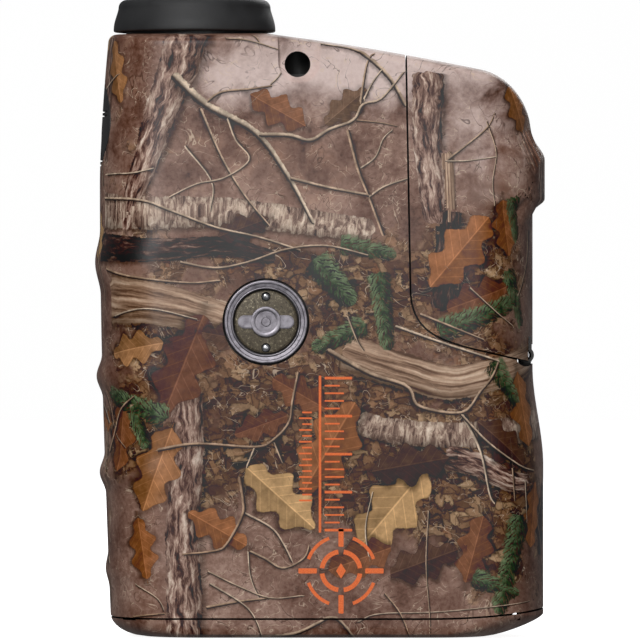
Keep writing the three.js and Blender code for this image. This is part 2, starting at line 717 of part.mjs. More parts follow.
function mainBoard() {
  let board = solid(box(-6.0, 25.5, 11.3, 12.7, 15.6, 46.0));
  board = board.subtract(solid(box(24.0, 30.0, 0, BIG, 36.0, 50.0)));
  return board;
}

function displayFlex() {
  const shape = new THREE.Shape();
  shape.moveTo(-14.2, 69.3);
  shape.lineTo(-8.6, 69.3);
  shape.quadraticCurveTo(-6.3, 69.3, -6.3, 66.5);
  shape.lineTo(-6.3, 46.8);
  shape.lineTo(-6.05, 46.8);
  shape.lineTo(-6.05, 66.5);
  shape.quadraticCurveTo(-6.05, 69.55, -8.6, 69.55);
  shape.lineTo(-14.2, 69.55);
  shape.closePath();
  return slabY(shape, 3.5, 9.5, 5);
}

// ---------------------------------------------------------------- badge

function badgeFront() {
  return -surfaceY(BADGE_X, BADGE_Z);
}

function badgeRing() {
  const y = badgeFront();
  const rim = solid(rodY(BADGE_R, BADGE_X, BADGE_Z, y - 0.12, y + 1.4, OUTSIDE_SIDES));
  return rim.subtract(solid(rodY(5.3, BADGE_X, BADGE_Z, -BIG, BIG, OUTSIDE_SIDES)));
}

function badgeDisc() {
  const y = badgeFront();
  let plate = solid(rodY(5.1, BADGE_X, BADGE_Z, y + 0.45, y + 1.4, 28));
  for (const offset of [4.1, -4.2]) {
    plate = plate.subtract(solid(rodY(0.75, BADGE_X, BADGE_Z + offset, -BIG, BIG, 14)));
  }
  return plate;
}

// A plain bar with a round boss in the middle, as a sighting mark.
function badgeEmblem() {
  const y = badgeFront();
  const bar = new THREE.Shape();
  bar.absarc(BADGE_X + 3.5, BADGE_Z, 1.05, -Math.PI / 2, Math.PI / 2, false);
  bar.absarc(BADGE_X - 3.5, BADGE_Z, 1.05, Math.PI / 2, (3 * Math.PI) / 2, false);
  bar.closePath();
  const plate = solid(slabY(bar, y + 0.02, y + 0.4, 8));
  const boss = solid(rodY(2.5, BADGE_X, BADGE_Z, y - 0.06, y + 0.4, 28));
  const groove = solid(rodY(1.75, BADGE_X, BADGE_Z, -BIG, y + 0.14, 24));
  const dot = solid(rodY(0.75, BADGE_X, BADGE_Z, y - 0.06, y + 0.4, 16));
  return plate.add(boss).subtract(groove).add(dot);
}

// ---------------------------------------------------------------- assembly

const rangefinder = new THREE.Group();

function place(name, geometry, material, x = 0) {
  const mesh = new THREE.Mesh(geometry.isBufferGeometry ? geometry : geometryOf(geometry), material);
  mesh.name = name;
  mesh.position.x = x;
  rangefinder.add(mesh);
}

place('left_shell', leftShell(), CAMO);
place('right_shell', rightShell(), CAMO);
place('front_bezel', frontBezel(), CAMO);
SCREW_SPOTS.forEach(([x, z], i) => place(`shell_screw_${i + 1}`, shellScrew(x, z), STEEL));

place('battery_door', batteryDoor(), CAMO);
place('door_hinge_pin', rodY(HINGE_PIN_R, HINGE_X, HINGE_Z, -HINGE_HALF_LENGTH, HINGE_HALF_LENGTH, 14), STEEL);
place('door_gasket', doorGasket(), BLACK_RUBBER);
place('battery_holder', batteryHolder(), BLACK_PLASTIC);
place('battery_cell', batteryCell(), CELL_SLEEVE, CELL_X);
place('battery_contact_plate', box(CELL_X - 5, CELL_X + 4, -4, 4, 82.2, 82.7), STEEL);
place('battery_contact_spring', contactSpring(), STEEL, CELL_X);

place('button_pad', buttonPad(), BLACK_RUBBER);
place('fire_button', button(FIRE_HALF_Y, FIRE_HALF_Z, FIRE_Z), BLACK_RUBBER);
place('mode_button', button(MODE_HALF_Y, MODE_HALF_Z, MODE_Z), BLACK_RUBBER);
place('fire_switch', tactSwitch(FIRE_Z, 2.4, -32.2), BLACK_PLASTIC);
place('mode_switch', tactSwitch(MODE_Z, 1.5, -31.9), BLACK_PLASTIC);
place('button_board', box(-30.8, -30.2, -6.5, 6.5, 77.5, 89.8), BOARD_GREEN);

place('eyecup', eyecup(), BLACK_RUBBER, SIGHT_X);
place('diopter_ring', diopterRing(), BLACK_PLASTIC, SIGHT_X);
place('lens_cell', lensCell(), DARK_METAL, SIGHT_X);
place('eye_lens', lens(8.7, 94.6, 96.2, 0.9, 0.8, 22), GLASS, SIGHT_X);
place('eye_lens_retainer', ring(8.75, 7.8, 96.5, 97.9, 22), BLACK_PLASTIC, SIGHT_X);
place('field_lens', lens(6.7, 78.0, 79.6, 0.8, 0.8), GLASS, SIGHT_X);
place('eyepiece_tube', eyepieceTube(), BLACK_PLASTIC, SIGHT_X);
place('eyepiece_seal', ring(11.9, 11.45, 94.3, 94.9, 22), BLACK_RUBBER, SIGHT_X);

place('objective_barrel', objectiveBarrel(), DARK_METAL, SIGHT_X);
place('objective_lens', lens(9.8, 5.4, 8.2, 1.6, 0.5, 22), RUBY_GLASS, SIGHT_X);
place('objective_retainer', ring(9.9, 8.9, 3.7, 5.1, 22), BLACK_PLASTIC, SIGHT_X);
place('objective_gasket', ring(11.2, 10.0, 3.1, 3.5), BLACK_RUBBER, SIGHT_X);
place('roof_prism', roofPrism(), GLASS);
place('prism_cage', prismCage(), BLACK_PLASTIC);
place('optical_chassis', opticalChassis(), DARK_METAL);
place('display_panel', box(SIGHT_X - 6, SIGHT_X + 6, -6, 9.5, 67.6, 68.8), GLASS);
place('display_flex', displayFlex(), BRASS);

place('laser_barrel', laserBarrel(), DARK_METAL, LASER_X);
place('laser_lens', lens(8.3, 5.4, 7.8, 1.5, 0.4, 22), GLASS, LASER_X);
place('laser_retainer', ring(8.4, 7.6, 3.7, 5.1, 22), BLACK_PLASTIC, LASER_X);
place('laser_gasket', ring(9.6, 8.6, 3.1, 3.5), BLACK_RUBBER, LASER_X);
place('laser_holder', ring(7.7, 2.2, 28.2, 29.8), DARK_METAL, LASER_X);
place('laser_diode', laserDiode(), BRASS, LASER_X);
place('receiver_mount', receiverMount(), BLACK_PLASTIC);
place('receiver_diode', receiverDiode(), BRASS);

place('main_board', mainBoard(), BOARD_GREEN);
place('processor_chip', box(2.5, 11.5, 10.2, 11.2, 33.0, 42.0), BLACK_PLASTIC);
place('flash_capacitor', rodZ(3.6, 17.5, 7.2, 32.5, 44.5, 20), BLACK_PLASTIC);

place('badge_ring', badgeRing(), SATIN_METAL);
place('badge_disc', badgeDisc(), BRONZE_ENAMEL);
place('badge_emblem', badgeEmblem(), SATIN_METAL);
place('badge_pin_upper', rodY(0.6, BADGE_X, BADGE_Z + 4.1, badgeFront() + 0.3, badgeFront() + 1.4, 14), STEEL);
place('badge_pin_lower', rodY(0.6, BADGE_X, BADGE_Z - 4.2, badgeFront() + 0.3, badgeFront() + 1.4, 14), STEEL);

export default rangefinder;
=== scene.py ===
"""The looks of the laser rangefinder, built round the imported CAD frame.

Lengths in the shape functions are millimetres, as the part is drawn; each mesh is scaled to metres
when it is made. The woodland print is a material: every printed piece carries, in attributes, how far
each point lies along and across the logs, leaves, twigs and needles of the print, and the material
draws them from that.
"""
import json
import math
import random

import bmesh
import bpy
import numpy as np
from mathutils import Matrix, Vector


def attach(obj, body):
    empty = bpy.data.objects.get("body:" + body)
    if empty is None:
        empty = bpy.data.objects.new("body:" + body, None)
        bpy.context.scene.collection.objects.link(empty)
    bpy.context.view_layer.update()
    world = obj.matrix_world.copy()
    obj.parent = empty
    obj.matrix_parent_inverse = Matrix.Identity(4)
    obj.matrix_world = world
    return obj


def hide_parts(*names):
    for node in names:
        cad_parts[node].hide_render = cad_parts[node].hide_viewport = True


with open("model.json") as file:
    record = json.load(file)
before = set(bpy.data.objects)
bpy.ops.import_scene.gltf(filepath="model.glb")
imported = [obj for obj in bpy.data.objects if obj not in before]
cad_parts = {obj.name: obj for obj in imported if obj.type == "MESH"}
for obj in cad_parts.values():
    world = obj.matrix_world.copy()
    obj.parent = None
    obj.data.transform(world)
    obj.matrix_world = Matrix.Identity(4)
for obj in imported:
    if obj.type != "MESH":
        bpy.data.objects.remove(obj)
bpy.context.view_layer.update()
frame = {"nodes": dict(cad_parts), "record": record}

MM = 0.001

# ------------------------------------------------------------------ dimensions shared with the CAD

WALL = 2.0
GAP = 0.15
NECK_TOP = 98.3
FLOOR_UNDERCUT = 0.05
HALF_DEPTH_FRONT = 18.0
HALF_DEPTH_REAR = 15.2
TAPER_START = 45.0
TAPER_LENGTH = 50.0
LEFT_FOOT = -34.15
LEFT_SWELL = 1.9
LEFT_WIDEST_Z = 74.0
LEFT_LEAN = 1.5
FINGER_RIDGES = [(61.0, 5.4, 0.85), (42.4, 3.6, 0.95), (26.7, 3.4, 0.9), (11.0, 3.2, 0.5)]
NECK_CORNER = 1.2
RIGHT_FOOT = 36.55
RIGHT_WAIST = 34.8
WAIST_FROM = 28.0
WAIST_TO = 44.0
LIP_OUT = 2.0
LIP_BOTTOM = 69.2
LIP_TOP = 77.8
LIP_RISE = 2.2
LIP_FALL = 4.2
SHOULDER_X = -8.6
SHOULDER_SLOPE = 0.1688
SHOULDER_CROWN = 0.35
HEEL_X = 26.0
HEEL_RUN = 8.5
HEEL_DROP = 9.2
FOOT_CORNER_HEIGHT = 3.6
LEFT_CORNER_RUN = 6.0
RIGHT_CORNER_RUN = 9.3
SIDE_ROUND_LEFT = 11.0
SIDE_ROUND_RIGHT = 10.0
SIDE_POWER = 2.3
TOP_ROUND = 2.6
TOP_POWER = 5.0
FOOT_ROUND = 2.5
FOOT_POWER = 6.0
BEZEL_HEIGHT = 3.2
BEZEL_RISE_X = 18.0
BEZEL_RISE = 1.35
SIGHT_X = -20.55
LASER_X = 10.25
SIGHT_APERTURE = 8.8
LASER_APERTURE = 8.0
HINGE_X = 33.55
HINGE_Z = 45.9
HINGE_BORE_R = 0.85
HINGE_KNUCKLE_R = 1.3
HINGE_CORNER_R = 1.6
HINGE_HALF_LENGTH = 8.6
HINGE_CENTRE_HALF = 4.6
PAD_Z = 83.3
PAD_HALF_Y = 9.2
PAD_HALF_Z = 7.2
PAD_THICK = 1.8
FIRE_Z, FIRE_HALF_Y, FIRE_HALF_Z = 81.2, 4.7, 3.5
MODE_Z, MODE_HALF_Y, MODE_HALF_Z = 87.9, 2.7, 1.3
BUTTON_GAP = 0.3
BUTTON_FLANGE = 0.7
BUTTON_STEP = 0.1
BADGE_X = -8.75
BADGE_Z = 51.3
BADGE_R = 6.8
LANYARD_X = -3.65
LANYARD_Z = 93.1
LANYARD_R = 2.1
SCREW_SPOTS = [(-4.25, 12.0), (29.25, 12.0), (29.25, 40.0), (-4.25, 82.0)]
BOSS_R = 2.5
SCREW_HEAD_R = 1.9
SCREW_HEAD_HEIGHT = 1.4
SCREW_SEAT_DEPTH = 4.2
SCREW_HEAD_PLAY = 0.3
SCREW_HOLE_R = 1.25
EYEPIECE_BORE_R = 11.5
HINGE_WEB = (HINGE_X - 1.0, HINGE_X + 0.9)
HINGE_NOTCH = HINGE_CENTRE_HALF + 0.3
PAD_CUT_X = LEFT_FOOT + 4
BADGE_BACK = -1.4
BADGE_PLAY = 0.25
BADGE_PIN_OFFSETS = (4.1, -4.2)
# Longer than the body, for cutters that have to go right through it.
BIG = 80.0


# ------------------------------------------------------------------ outer form

def smooth_step(low, high, value):
    t = np.clip((value - low) / (high - low), 0, 1)
    return t * t * (3 - 2 * t)


def edge_rise(distance, reach, power):
    """Height of a rounded edge: 0 at the outline, 1 where the face is flat."""
    t = np.clip(distance / reach, 0, 1)
    return (1 - (1 - t) ** power) ** (1 / power)


def corner_inset(z, height, run, power):
    t = np.clip((height - z) / height, 0, 1)
    return run * (1 - (1 - t ** power) ** (1 / power))


def left_edge(z):
    swell = LEFT_SWELL * np.sin(math.pi / 2 * np.minimum(z / LEFT_WIDEST_Z, 1))
    above = np.maximum(0, (z - LEFT_WIDEST_Z) / (NECK_TOP - LEFT_WIDEST_Z))
    x = LEFT_FOOT - swell + LEFT_LEAN * above ** 1.6
    for centre, half_width, out in FINGER_RIDGES:
        t = np.minimum(np.abs(z - centre) / half_width, 1)
        x = x - out * (0.5 + 0.5 * np.cos(math.pi * t))
    x = x + corner_inset(z, FOOT_CORNER_HEIGHT, LEFT_CORNER_RUN, 2)
    return x + corner_inset(NECK_TOP - z, NECK_CORNER, NECK_CORNER, 2)


def right_edge(z, lip=LIP_OUT):
    x = RIGHT_FOOT + (RIGHT_WAIST - RIGHT_FOOT) * smooth_step(WAIST_FROM, WAIST_TO, z)
    rise = smooth_step(LIP_BOTTOM, LIP_BOTTOM + LIP_RISE, z)
    x = x + lip * rise * (1 - smooth_step(LIP_TOP, LIP_TOP + LIP_FALL, z))
    return x - corner_inset(z, FOOT_CORNER_HEIGHT, RIGHT_CORNER_RUN, 1.3)


def top_edge(x):
    along = np.clip((x - SHOULDER_X) / (HEEL_X - SHOULDER_X), 0, 1)
    slope = NECK_TOP - SHOULDER_SLOPE * np.maximum(0, x - SHOULDER_X)
    heel = np.clip((x - HEEL_X) / HEEL_RUN, 0, 1)
    crown = SHOULDER_CROWN * np.sin(math.pi * along)
    return slope + crown - HEEL_DROP * (1 - np.sqrt(1 - heel * heel))


def half_depth(z):
    taper = smooth_step(TAPER_START, TAPER_START + TAPER_LENGTH, z)
    return HALF_DEPTH_FRONT + (HALF_DEPTH_REAR - HALF_DEPTH_FRONT) * taper


def surface_y(x, z, inset=0.0):
    """Distance of the surface from the middle plane, for a form made thinner by inset."""
    lip = 0.0 if inset > 0 else LIP_OUT
    from_left = edge_rise(x - left_edge(z) - inset, SIDE_ROUND_LEFT, SIDE_POWER)
    from_right = edge_rise(right_edge(z, lip) - inset - x, SIDE_ROUND_RIGHT, SIDE_POWER)
    from_top = edge_rise(top_edge(x) - inset - z, TOP_ROUND, TOP_POWER)
    from_foot = edge_rise(z + FLOOR_UNDERCUT - inset, FOOT_ROUND, FOOT_POWER)
    return (half_depth(z) - inset) * from_left * from_right * from_top * from_foot


def spread(low_reach, high_reach, edge_count_low, edge_count_high, middle_count):
    """Where grid lines go between two edges: a share of the way across, and an offset in mm."""
    shares, offsets = [], []
    for i in range(edge_count_low):
        shares.append(0.0)
        offsets.append(low_reach * (1 - math.cos(math.pi / 2 * i / edge_count_low)))
    for i in range(middle_count + 1):
        share = i / middle_count
        shares.append(share)
        offsets.append(low_reach * (1 - share) - high_reach * share)
    for i in reversed(range(edge_count_high)):
        shares.append(1.0)
        offsets.append(-high_reach * (1 - math.cos(math.pi / 2 * i / edge_count_high)))
    return np.array(shares), np.array(offsets)


SETTLING_ROUNDS = 16


def body_form(inset, side_count, columns, rows, foot_count=6, top_count=10):
    """The body's form as one closed surface, made thinner all round by inset: vertices in mm, and quads."""
    lip = 0.0 if inset > 0 else LIP_OUT
    column_share, column_offset = spread(
        SIDE_ROUND_LEFT, SIDE_ROUND_RIGHT, side_count, side_count, columns)
    row_share, row_offset = spread(FOOT_ROUND, TOP_ROUND, foot_count, top_count, rows)
    c_share, r_share = np.meshgrid(column_share, row_share)
    c_offset, r_offset = np.meshgrid(column_offset, row_offset)
    x = np.zeros_like(c_share)
    z = np.full_like(c_share, NECK_TOP / 2)
    bottom = inset - FLOOR_UNDERCUT
    # The top edge depends on x and the side edges on z, so both settle over a few rounds.
    for _ in range(SETTLING_ROUNDS):
        z = bottom * (1 - r_share) + (top_edge(x) - inset) * r_share + r_offset
        low = left_edge(z) + inset
        high = right_edge(z, lip) - inset
        x = low * (1 - c_share) + high * c_share + c_offset
    y = surface_y(x, z, inset)
    height, width = x.shape
    on_edge = np.zeros((height, width), bool)
    on_edge[[0, -1], :] = True
    on_edge[:, [0, -1]] = True
    y[on_edge] = 0
    front = np.arange(height * width).reshape(height, width)
    back = front.copy()
    back[~on_edge] = height * width + np.arange((~on_edge).sum())
    front_points = np.stack([x, -y, z], -1).reshape(-1, 3)
    back_points = np.stack([x, y, z], -1)[~on_edge]
    verts = np.concatenate([front_points, back_points])
    faces = []
    for ids, flip in ((front, False), (back, True)):
        a, b = ids[:-1, :-1].ravel(), ids[:-1, 1:].ravel()
        c, d = ids[1:, 1:].ravel(), ids[1:, :-1].ravel()
        quad = [d, c, b, a] if flip else [a, b, c, d]
        faces.append(np.stack(quad, -1))
    return verts, np.concatenate(faces)


# ------------------------------------------------------------------ meshes

def face_outward(made):
    """Turns all faces of a closed mesh to point out."""
    bmesh.ops.recalc_face_normals(made, faces=made.faces)
    if made.calc_volume(signed=True) < 0:
        bmesh.ops.reverse_faces(made, faces=made.faces)


def new_object(name, verts, faces):
    """A mesh object from vertices in millimetres."""
    mesh = bpy.data.meshes.new(name)
    mesh.from_pydata((np.asarray(verts, float) * MM).tolist(), [], [list(map(int, f)) for f in faces])
    made = bmesh.new()
    made.from_mesh(mesh)
    bmesh.ops.remove_doubles(made, verts=made.verts, dist=1e-7)
    face_outward(made)
    made.to_mesh(mesh)
    made.free()
    obj = bpy.data.objects.new(name, mesh)
    bpy.context.scene.collection.objects.link(obj)
    return obj


def throw_away(obj):
    stale = obj.data
    bpy.data.objects.remove(obj)
    bpy.data.meshes.remove(stale)


def combine(target, cutter, operation="DIFFERENCE"):
    """Joins or cuts the target with the cutter, and throws the cutter away."""
    modifier = target.modifiers.new("combine", "BOOLEAN")
    modifier.operation = operation
    modifier.solver = "MANIFOLD"
    modifier.object = cutter
    graph = bpy.context.evaluated_depsgraph_get()
    fresh = bpy.data.meshes.new_from_object(target.evaluated_get(graph))
    target.modifiers.clear()
    stale = target.data
    target.data = fresh
    fresh.name = target.name
    bpy.data.meshes.remove(stale)
    throw_away(cutter)
    return target


def joined(objects):
    """Several objects made into one, which is the first of them."""
    bpy.ops.object.select_all(action="DESELECT")
    for obj in objects:
        obj.select_set(True)
    bpy.context.view_layer.objects.active = objects[0]
    bpy.ops.object.join()
    return objects[0]


def duplicate(obj, name):
    copy = bpy.data.objects.new(name, obj.data.copy())
    bpy.context.scene.collection.objects.link(copy)
    return copy


def box(x0, x1, y0, y1, z0, z1):
    verts = [(x, y, z) for x in (x0, x1) for y in (y0, y1) for z in (z0, z1)]
    faces = [(0, 1, 3, 2), (4, 6, 7, 5), (0, 4, 5, 1), (2, 3, 7, 6), (0, 2, 6, 4), (1, 5, 7, 3)]
    return new_object("cutter", verts, faces)


def prism(outline, axis, low, high):
    """A closed outline in the two other axes, drawn out along one axis."""
    count = len(outline)
    verts = []
    for level in (low, high):
        for p, q in outline:
            verts.append({"X": (level, p, q), "Y": (p, level, q), "Z": (p, q, level)}[axis])
    faces = [tuple(range(count)), tuple(reversed(range(count, 2 * count)))]
    for i in range(count):
        j = (i + 1) % count
        faces.append((i, j, count + j, count + i))
    return new_object("cutter", verts, faces)


def oval(p, q, half_p, half_q, count=48):
    angles = [2 * math.pi * i / count for i in range(count)]
    return [(p + half_p * math.cos(a), q + half_q * math.sin(a)) for a in angles]


def rod(axis, p, q, r, low, high, count=48):
    return prism(oval(p, q, r, r, count), axis, low, high)


def arc(p, q, r, start, end, count=12):
    """Points on an arc, in degrees."""
    steps = [math.radians(start + (end - start) * i / count) for i in range(count + 1)]
    return [(p + r * math.cos(a), q + r * math.sin(a)) for a in steps]


def bezier(points, count):
    """Points along one cubic curve, without its first."""
    a, b, c, d = (np.array(p, float) for p in points)
    made = []
    for i in range(1, count + 1):
        t = i / count
        s = 1 - t
        made.append(tuple(s ** 3 * a + 3 * s * s * t * b + 3 * s * t * t * c + t ** 3 * d))
    return made


def rounded(points, radius, steps=3):
    """A closed outline with its corners eased."""
    eased = []
    count = len(points)
    for i in range(count):
        corner = np.array(points[i], float)
        before = np.array(points[i - 1], float) - corner
        after = np.array(points[(i + 1) % count], float) - corner
        reach_before = min(radius, 0.45 * np.linalg.norm(before))
        reach_after = min(radius, 0.45 * np.linalg.norm(after))
        start = corner + before / np.linalg.norm(before) * reach_before
        end = corner + after / np.linalg.norm(after) * reach_after
        for k in range(steps + 1):
            t = k / steps
            eased.append(tuple((1 - t) ** 2 * start + 2 * t * (1 - t) * corner + t * t * end))
    return eased


def turned(name, outline, at=(0.0, 0.0), count=96, axis="Z"):
    """A closed outline of (radius, height) turned about an axis. A radius of 0 is on the axis."""
    verts = []
    for i in range(count):
        angle = 2 * math.pi * i / count
        for r, h in outline:
            p = at[0] + r * math.cos(angle)
            q = at[1] + r * math.sin(angle)
            verts.append((p, q, h) if axis == "Z" else (p, h, q))
    size = len(outline)
    faces = []
    for i in range(count):
        j = (i + 1) % count
        for k in range(size):
            m = (k + 1) % size
            if outline[k][0] > 0 or outline[m][0] > 0:
                faces.append((i * size + k, i * size + m, j * size + m, j * size + k))
    obj = new_object(name, verts, faces)
    clean_flat_faces(obj)
    return obj


def clean_flat_faces(obj):
    """Removes faces that have no area, which an outline on the axis makes."""
    made = bmesh.new()
    made.from_mesh(obj.data)
    bmesh.ops.dissolve_degenerate(made, dist=1e-7, edges=made.edges)
    face_outward(made)
    made.to_mesh(obj.data)
    made.free()


def lens_outline(r, rim_bottom, rim_top, bulge_down, bulge_up, steps=12):
    under = [(r * i / steps, rim_bottom - bulge_down * (1 - (i / steps) ** 2)) for i in range(steps + 1)]
    over = [(r * i / steps, rim_top + bulge_up * (1 - (i / steps) ** 2)) for i in reversed(range(steps + 1))]
    return under + over


def smooth(obj, angle=32):
    obj.data.shade_smooth()
    obj.data.set_sharp_from_angle(angle=math.radians(angle))
    return obj


def finish_piece(obj, material, body, nodes):
    """Gives a piece its material and the body it rides on, and hides the CAD nodes it stands for."""
    obj.data.materials.clear()
    obj.data.materials.append(material)
    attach(obj, body)
    if nodes:
        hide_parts(*nodes)
    return obj


# ------------------------------------------------------------------ the print's layout, in mm

# Logs and trunks: points, half width at the start and at the end, kind, seed.
# Kinds: 0 ridged bark, 1 smooth wood, 2 dark log, 3 pale log with short cross streaks.
LOGS = [
    ([(-37, 55), (-28, 54.5), (-17, 52), (-10, 50)], 4.2, 2.6, 1, 0.11),
    ([(-40, 69.5), (-28, 69), (-14.5, 69), (1.5, 67), (9, 66)], 3.0, 1.9, 3, 0.27),
    ([(-41, 63.5), (-26, 63), (-15.5, 63.5), (-7, 61.5)], 2.5, 1.2, 2, 0.31),
    ([(-21, 100), (-23, 92.5), (-25.5, 86), (-28, 78.5), (-30.5, 72), (-32.5, 66)], 3.8, 1.6, 0, 0.47),
    ([(17.6, 92), (17.4, 82.5), (18.2, 74.5), (19, 67)], 2.7, 2.3, 0, 0.63),
    ([(20.8, 69.5), (20.6, 61), (19.5, 53)], 2.2, 1.8, 2, 0.71),
    ([(20.6, 79), (20.9, 72), (21, 67)], 1.0, 0.9, 1, 0.05),
    ([(3.5, 46.5), (13, 43.5), (21.5, 41.5), (30.5, 43.5), (42, 46)], 3.2, 2.4, 1, 0.83),
    ([(6, 35), (13, 33.5), (24.5, 33), (42, 35)], 2.0, 2.4, 3, 0.91),
    ([(-21.6, 40), (-21.4, 30.5), (-22.2, 19.5), (-22, 8), (-22, -3)], 2.6, 3.1, 0, 0.21),
    ([(20, 29.5), (25.5, 28.2), (31, 25.5), (36, 25)], 2.2, 1.6, 0, 0.57),
    ([(-40, 77), (-39, 86), (-38, 99)], 1.8, 1.4, 0, 0.77),
    ([(43, 60), (41, 74), (42, 88)], 1.8, 1.3, 0, 0.13),
]

# Twigs: points, half width at the start and at the end.
TWIGS = [
    ([(-24, 91.5), (-18.5, 86.5), (-10.5, 82), (-5, 74.5), (-1, 67)], 0.95, 0.35),
    ([(-10, 81.6), (-5, 81.5), (-1.5, 80.7), (1.5, 82.4), (5.5, 84), (7, 86.5), (10, 87.5),
      (13.8, 92)], 0.5, 0.22),
    ([(6.6, 86.6), (7.3, 91.5), (8, 94), (9.2, 95.2)], 0.34, 0.2),
    ([(7, 87), (8.5, 90), (10.2, 92.4)], 0.26, 0.15),
    ([(-2, 97), (4.5, 96), (8, 94), (11.5, 90.5), (14, 86)], 0.5, 0.42),
    ([(4.5, 82.6), (5.4, 79), (6.4, 75.5), (8, 71.5), (10.4, 65)], 0.36, 0.3),
    ([(6.4, 76), (9, 78), (10.3, 81), (12, 82.6)], 0.24, 0.14),
    ([(-5, 74.6), (1.5, 73), (8.4, 71.7)], 0.36, 0.3),
    ([(5.5, 84), (9.5, 83.6), (12.6, 83)], 0.2, 0.14),
    ([(8, 71.5), (10.5, 73.2), (14.5, 74.6)], 0.26, 0.2),
    ([(20.4, 77.3), (25.5, 81.3), (27.5, 83.2), (28.6, 85.4)], 0.3, 0.14),
    ([(20.4, 77.3), (24, 77.4), (29, 78.1)], 0.2, 0.1),
    ([(27, 84), (28.6, 79), (28, 74), (28.4, 70)], 0.18, 0.12),
    ([(-18.5, 86.8), (-16, 88.5), (-11.5, 89), (-7.5, 89.6)], 0.34, 0.2),
    ([(-8.2, 89.6), (-6.6, 91.2), (-5.8, 92.8)], 0.2, 0.14),
    ([(-15.5, 97.4), (-11.5, 96.9), (-6.5, 95.4)], 0.26, 0.14),
    ([(-11, 98.6), (-9.6, 96.2)], 0.2, 0.14),
    ([(-15, 84.5), (-13.6, 80.8), (-11.4, 77.6), (-15.5, 74.6), (-20, 73.6), (-24.6, 71.4)], 0.26, 0.18),
    ([(-19.5, 86), (-16, 78), (-12.4, 72), (-8, 66.6)], 0.34, 0.2),
    ([(-22, 80), (-17.5, 74), (-17.8, 69)], 0.26, 0.16),
    ([(-40, 71.4), (-29.5, 71), (-24.5, 69.4), (-17, 66.6), (-10, 65), (-3, 62.8)], 0.34, 0.24),
    ([(-38, 60), (-31, 58.6), (-21.5, 57.6), (-16, 58)], 0.34, 0.2),
    ([(-36, 52), (-28, 53.4), (-19.5, 51.6)], 0.26, 0.16),
    ([(-23, 61), (-17, 60), (-11.5, 61), (-5.5, 63), (1, 63.6), (8, 62)], 0.28, 0.2),
    ([(-27, 30.4), (-20, 31.5), (-10.5, 31), (-7.5, 32.2), (-5, 35), (-4.4, 38.5),
      (-3.4, 43.6)], 0.36, 0.26),
    ([(-10.5, 31), (-12, 27.4)], 0.26, 0.18),
    ([(-7.5, 32.2), (-6, 28.4)], 0.26, 0.18),
    ([(-13, 26.4), (-12.4, 22.5), (-12.5, 20), (-15, 15.4), (-17, 14.2), (-22.5, 13.6)], 0.4, 0.22),
    ([(-12.4, 20.4), (-8, 18), (-6, 15.4), (-4.4, 12.2)], 0.3, 0.22),
    ([(-11.5, 14.2), (-9, 13), (-6, 11.4), (-2.6, 13), (-1.6, 15.4)], 0.3, 0.22),
    ([(-11.6, 14.2), (-11.2, 10), (-9.6, 6)], 0.2, 0.12),
    ([(-18.4, 11), (-13, 8.4), (-8, 6.6), (-2.5, 7)], 0.22, 0.14),
    ([(-18.6, 5), (-13, 6), (-8, 6.6)], 0.34, 0.22),
    ([(-18, 9), (-12.5, 5.6), (-10.4, 3), (-9, -1)], 0.24, 0.16),
    ([(-14, 0), (-5, 0.6), (-0.5, 2.4), (1.5, 3.4), (3.5, 2.6), (7, -2)], 0.46, 0.3),
    ([(-31.5, 3.4), (-25, 4.1)], 0.26, 0.18),
    ([(-31, 9), (-26.5, 6.6), (-25, 4)], 0.2, 0.12),
    ([(1, 46.8), (8, 42.9), (14, 40.8), (16, 37.6), (23, 36.6), (26, 40), (28, 42.4),
      (29.4, 45.4)], 0.55, 0.26),
    ([(23, 36.6), (26, 30.5), (27.5, 23.5), (28.6, 21.6)], 0.4, 0.2),
    ([(22.6, 36.5), (27.5, 31.5), (33, 28), (38, 27)], 0.3, 0.18),
    ([(31.5, 27.8), (32, 21.8)], 0.28, 0.14),
    ([(34.5, 25.8), (35, 18.6)], 0.24, 0.14),
    ([(4.4, 52.6), (6, 48.4), (7.2, 46.4)], 0.24, 0.16),
    ([(10.4, 7.4), (13, 4), (15, -1)], 0.22, 0.16),
    ([(6, 2.6), (9.5, 4), (20, 4.4), (36, 6)], 0.16, 0.12),
    ([(17.6, 21), (17.2, 12), (17.8, 3), (17.6, -2)], 0.16, 0.12),
    ([(8, 13), (7.4, 18), (8.6, 24)], 0.2, 0.12),
    ([(24, 57), (29, 52.6), (33, 50.2)], 0.2, 0.12),
    ([(16, 52.6), (21, 50.6), (27, 48.2)], 0.3, 0.18),
    ([(12, 50.6), (20, 47.8), (30, 44.6)], 0.34, 0.26),
]

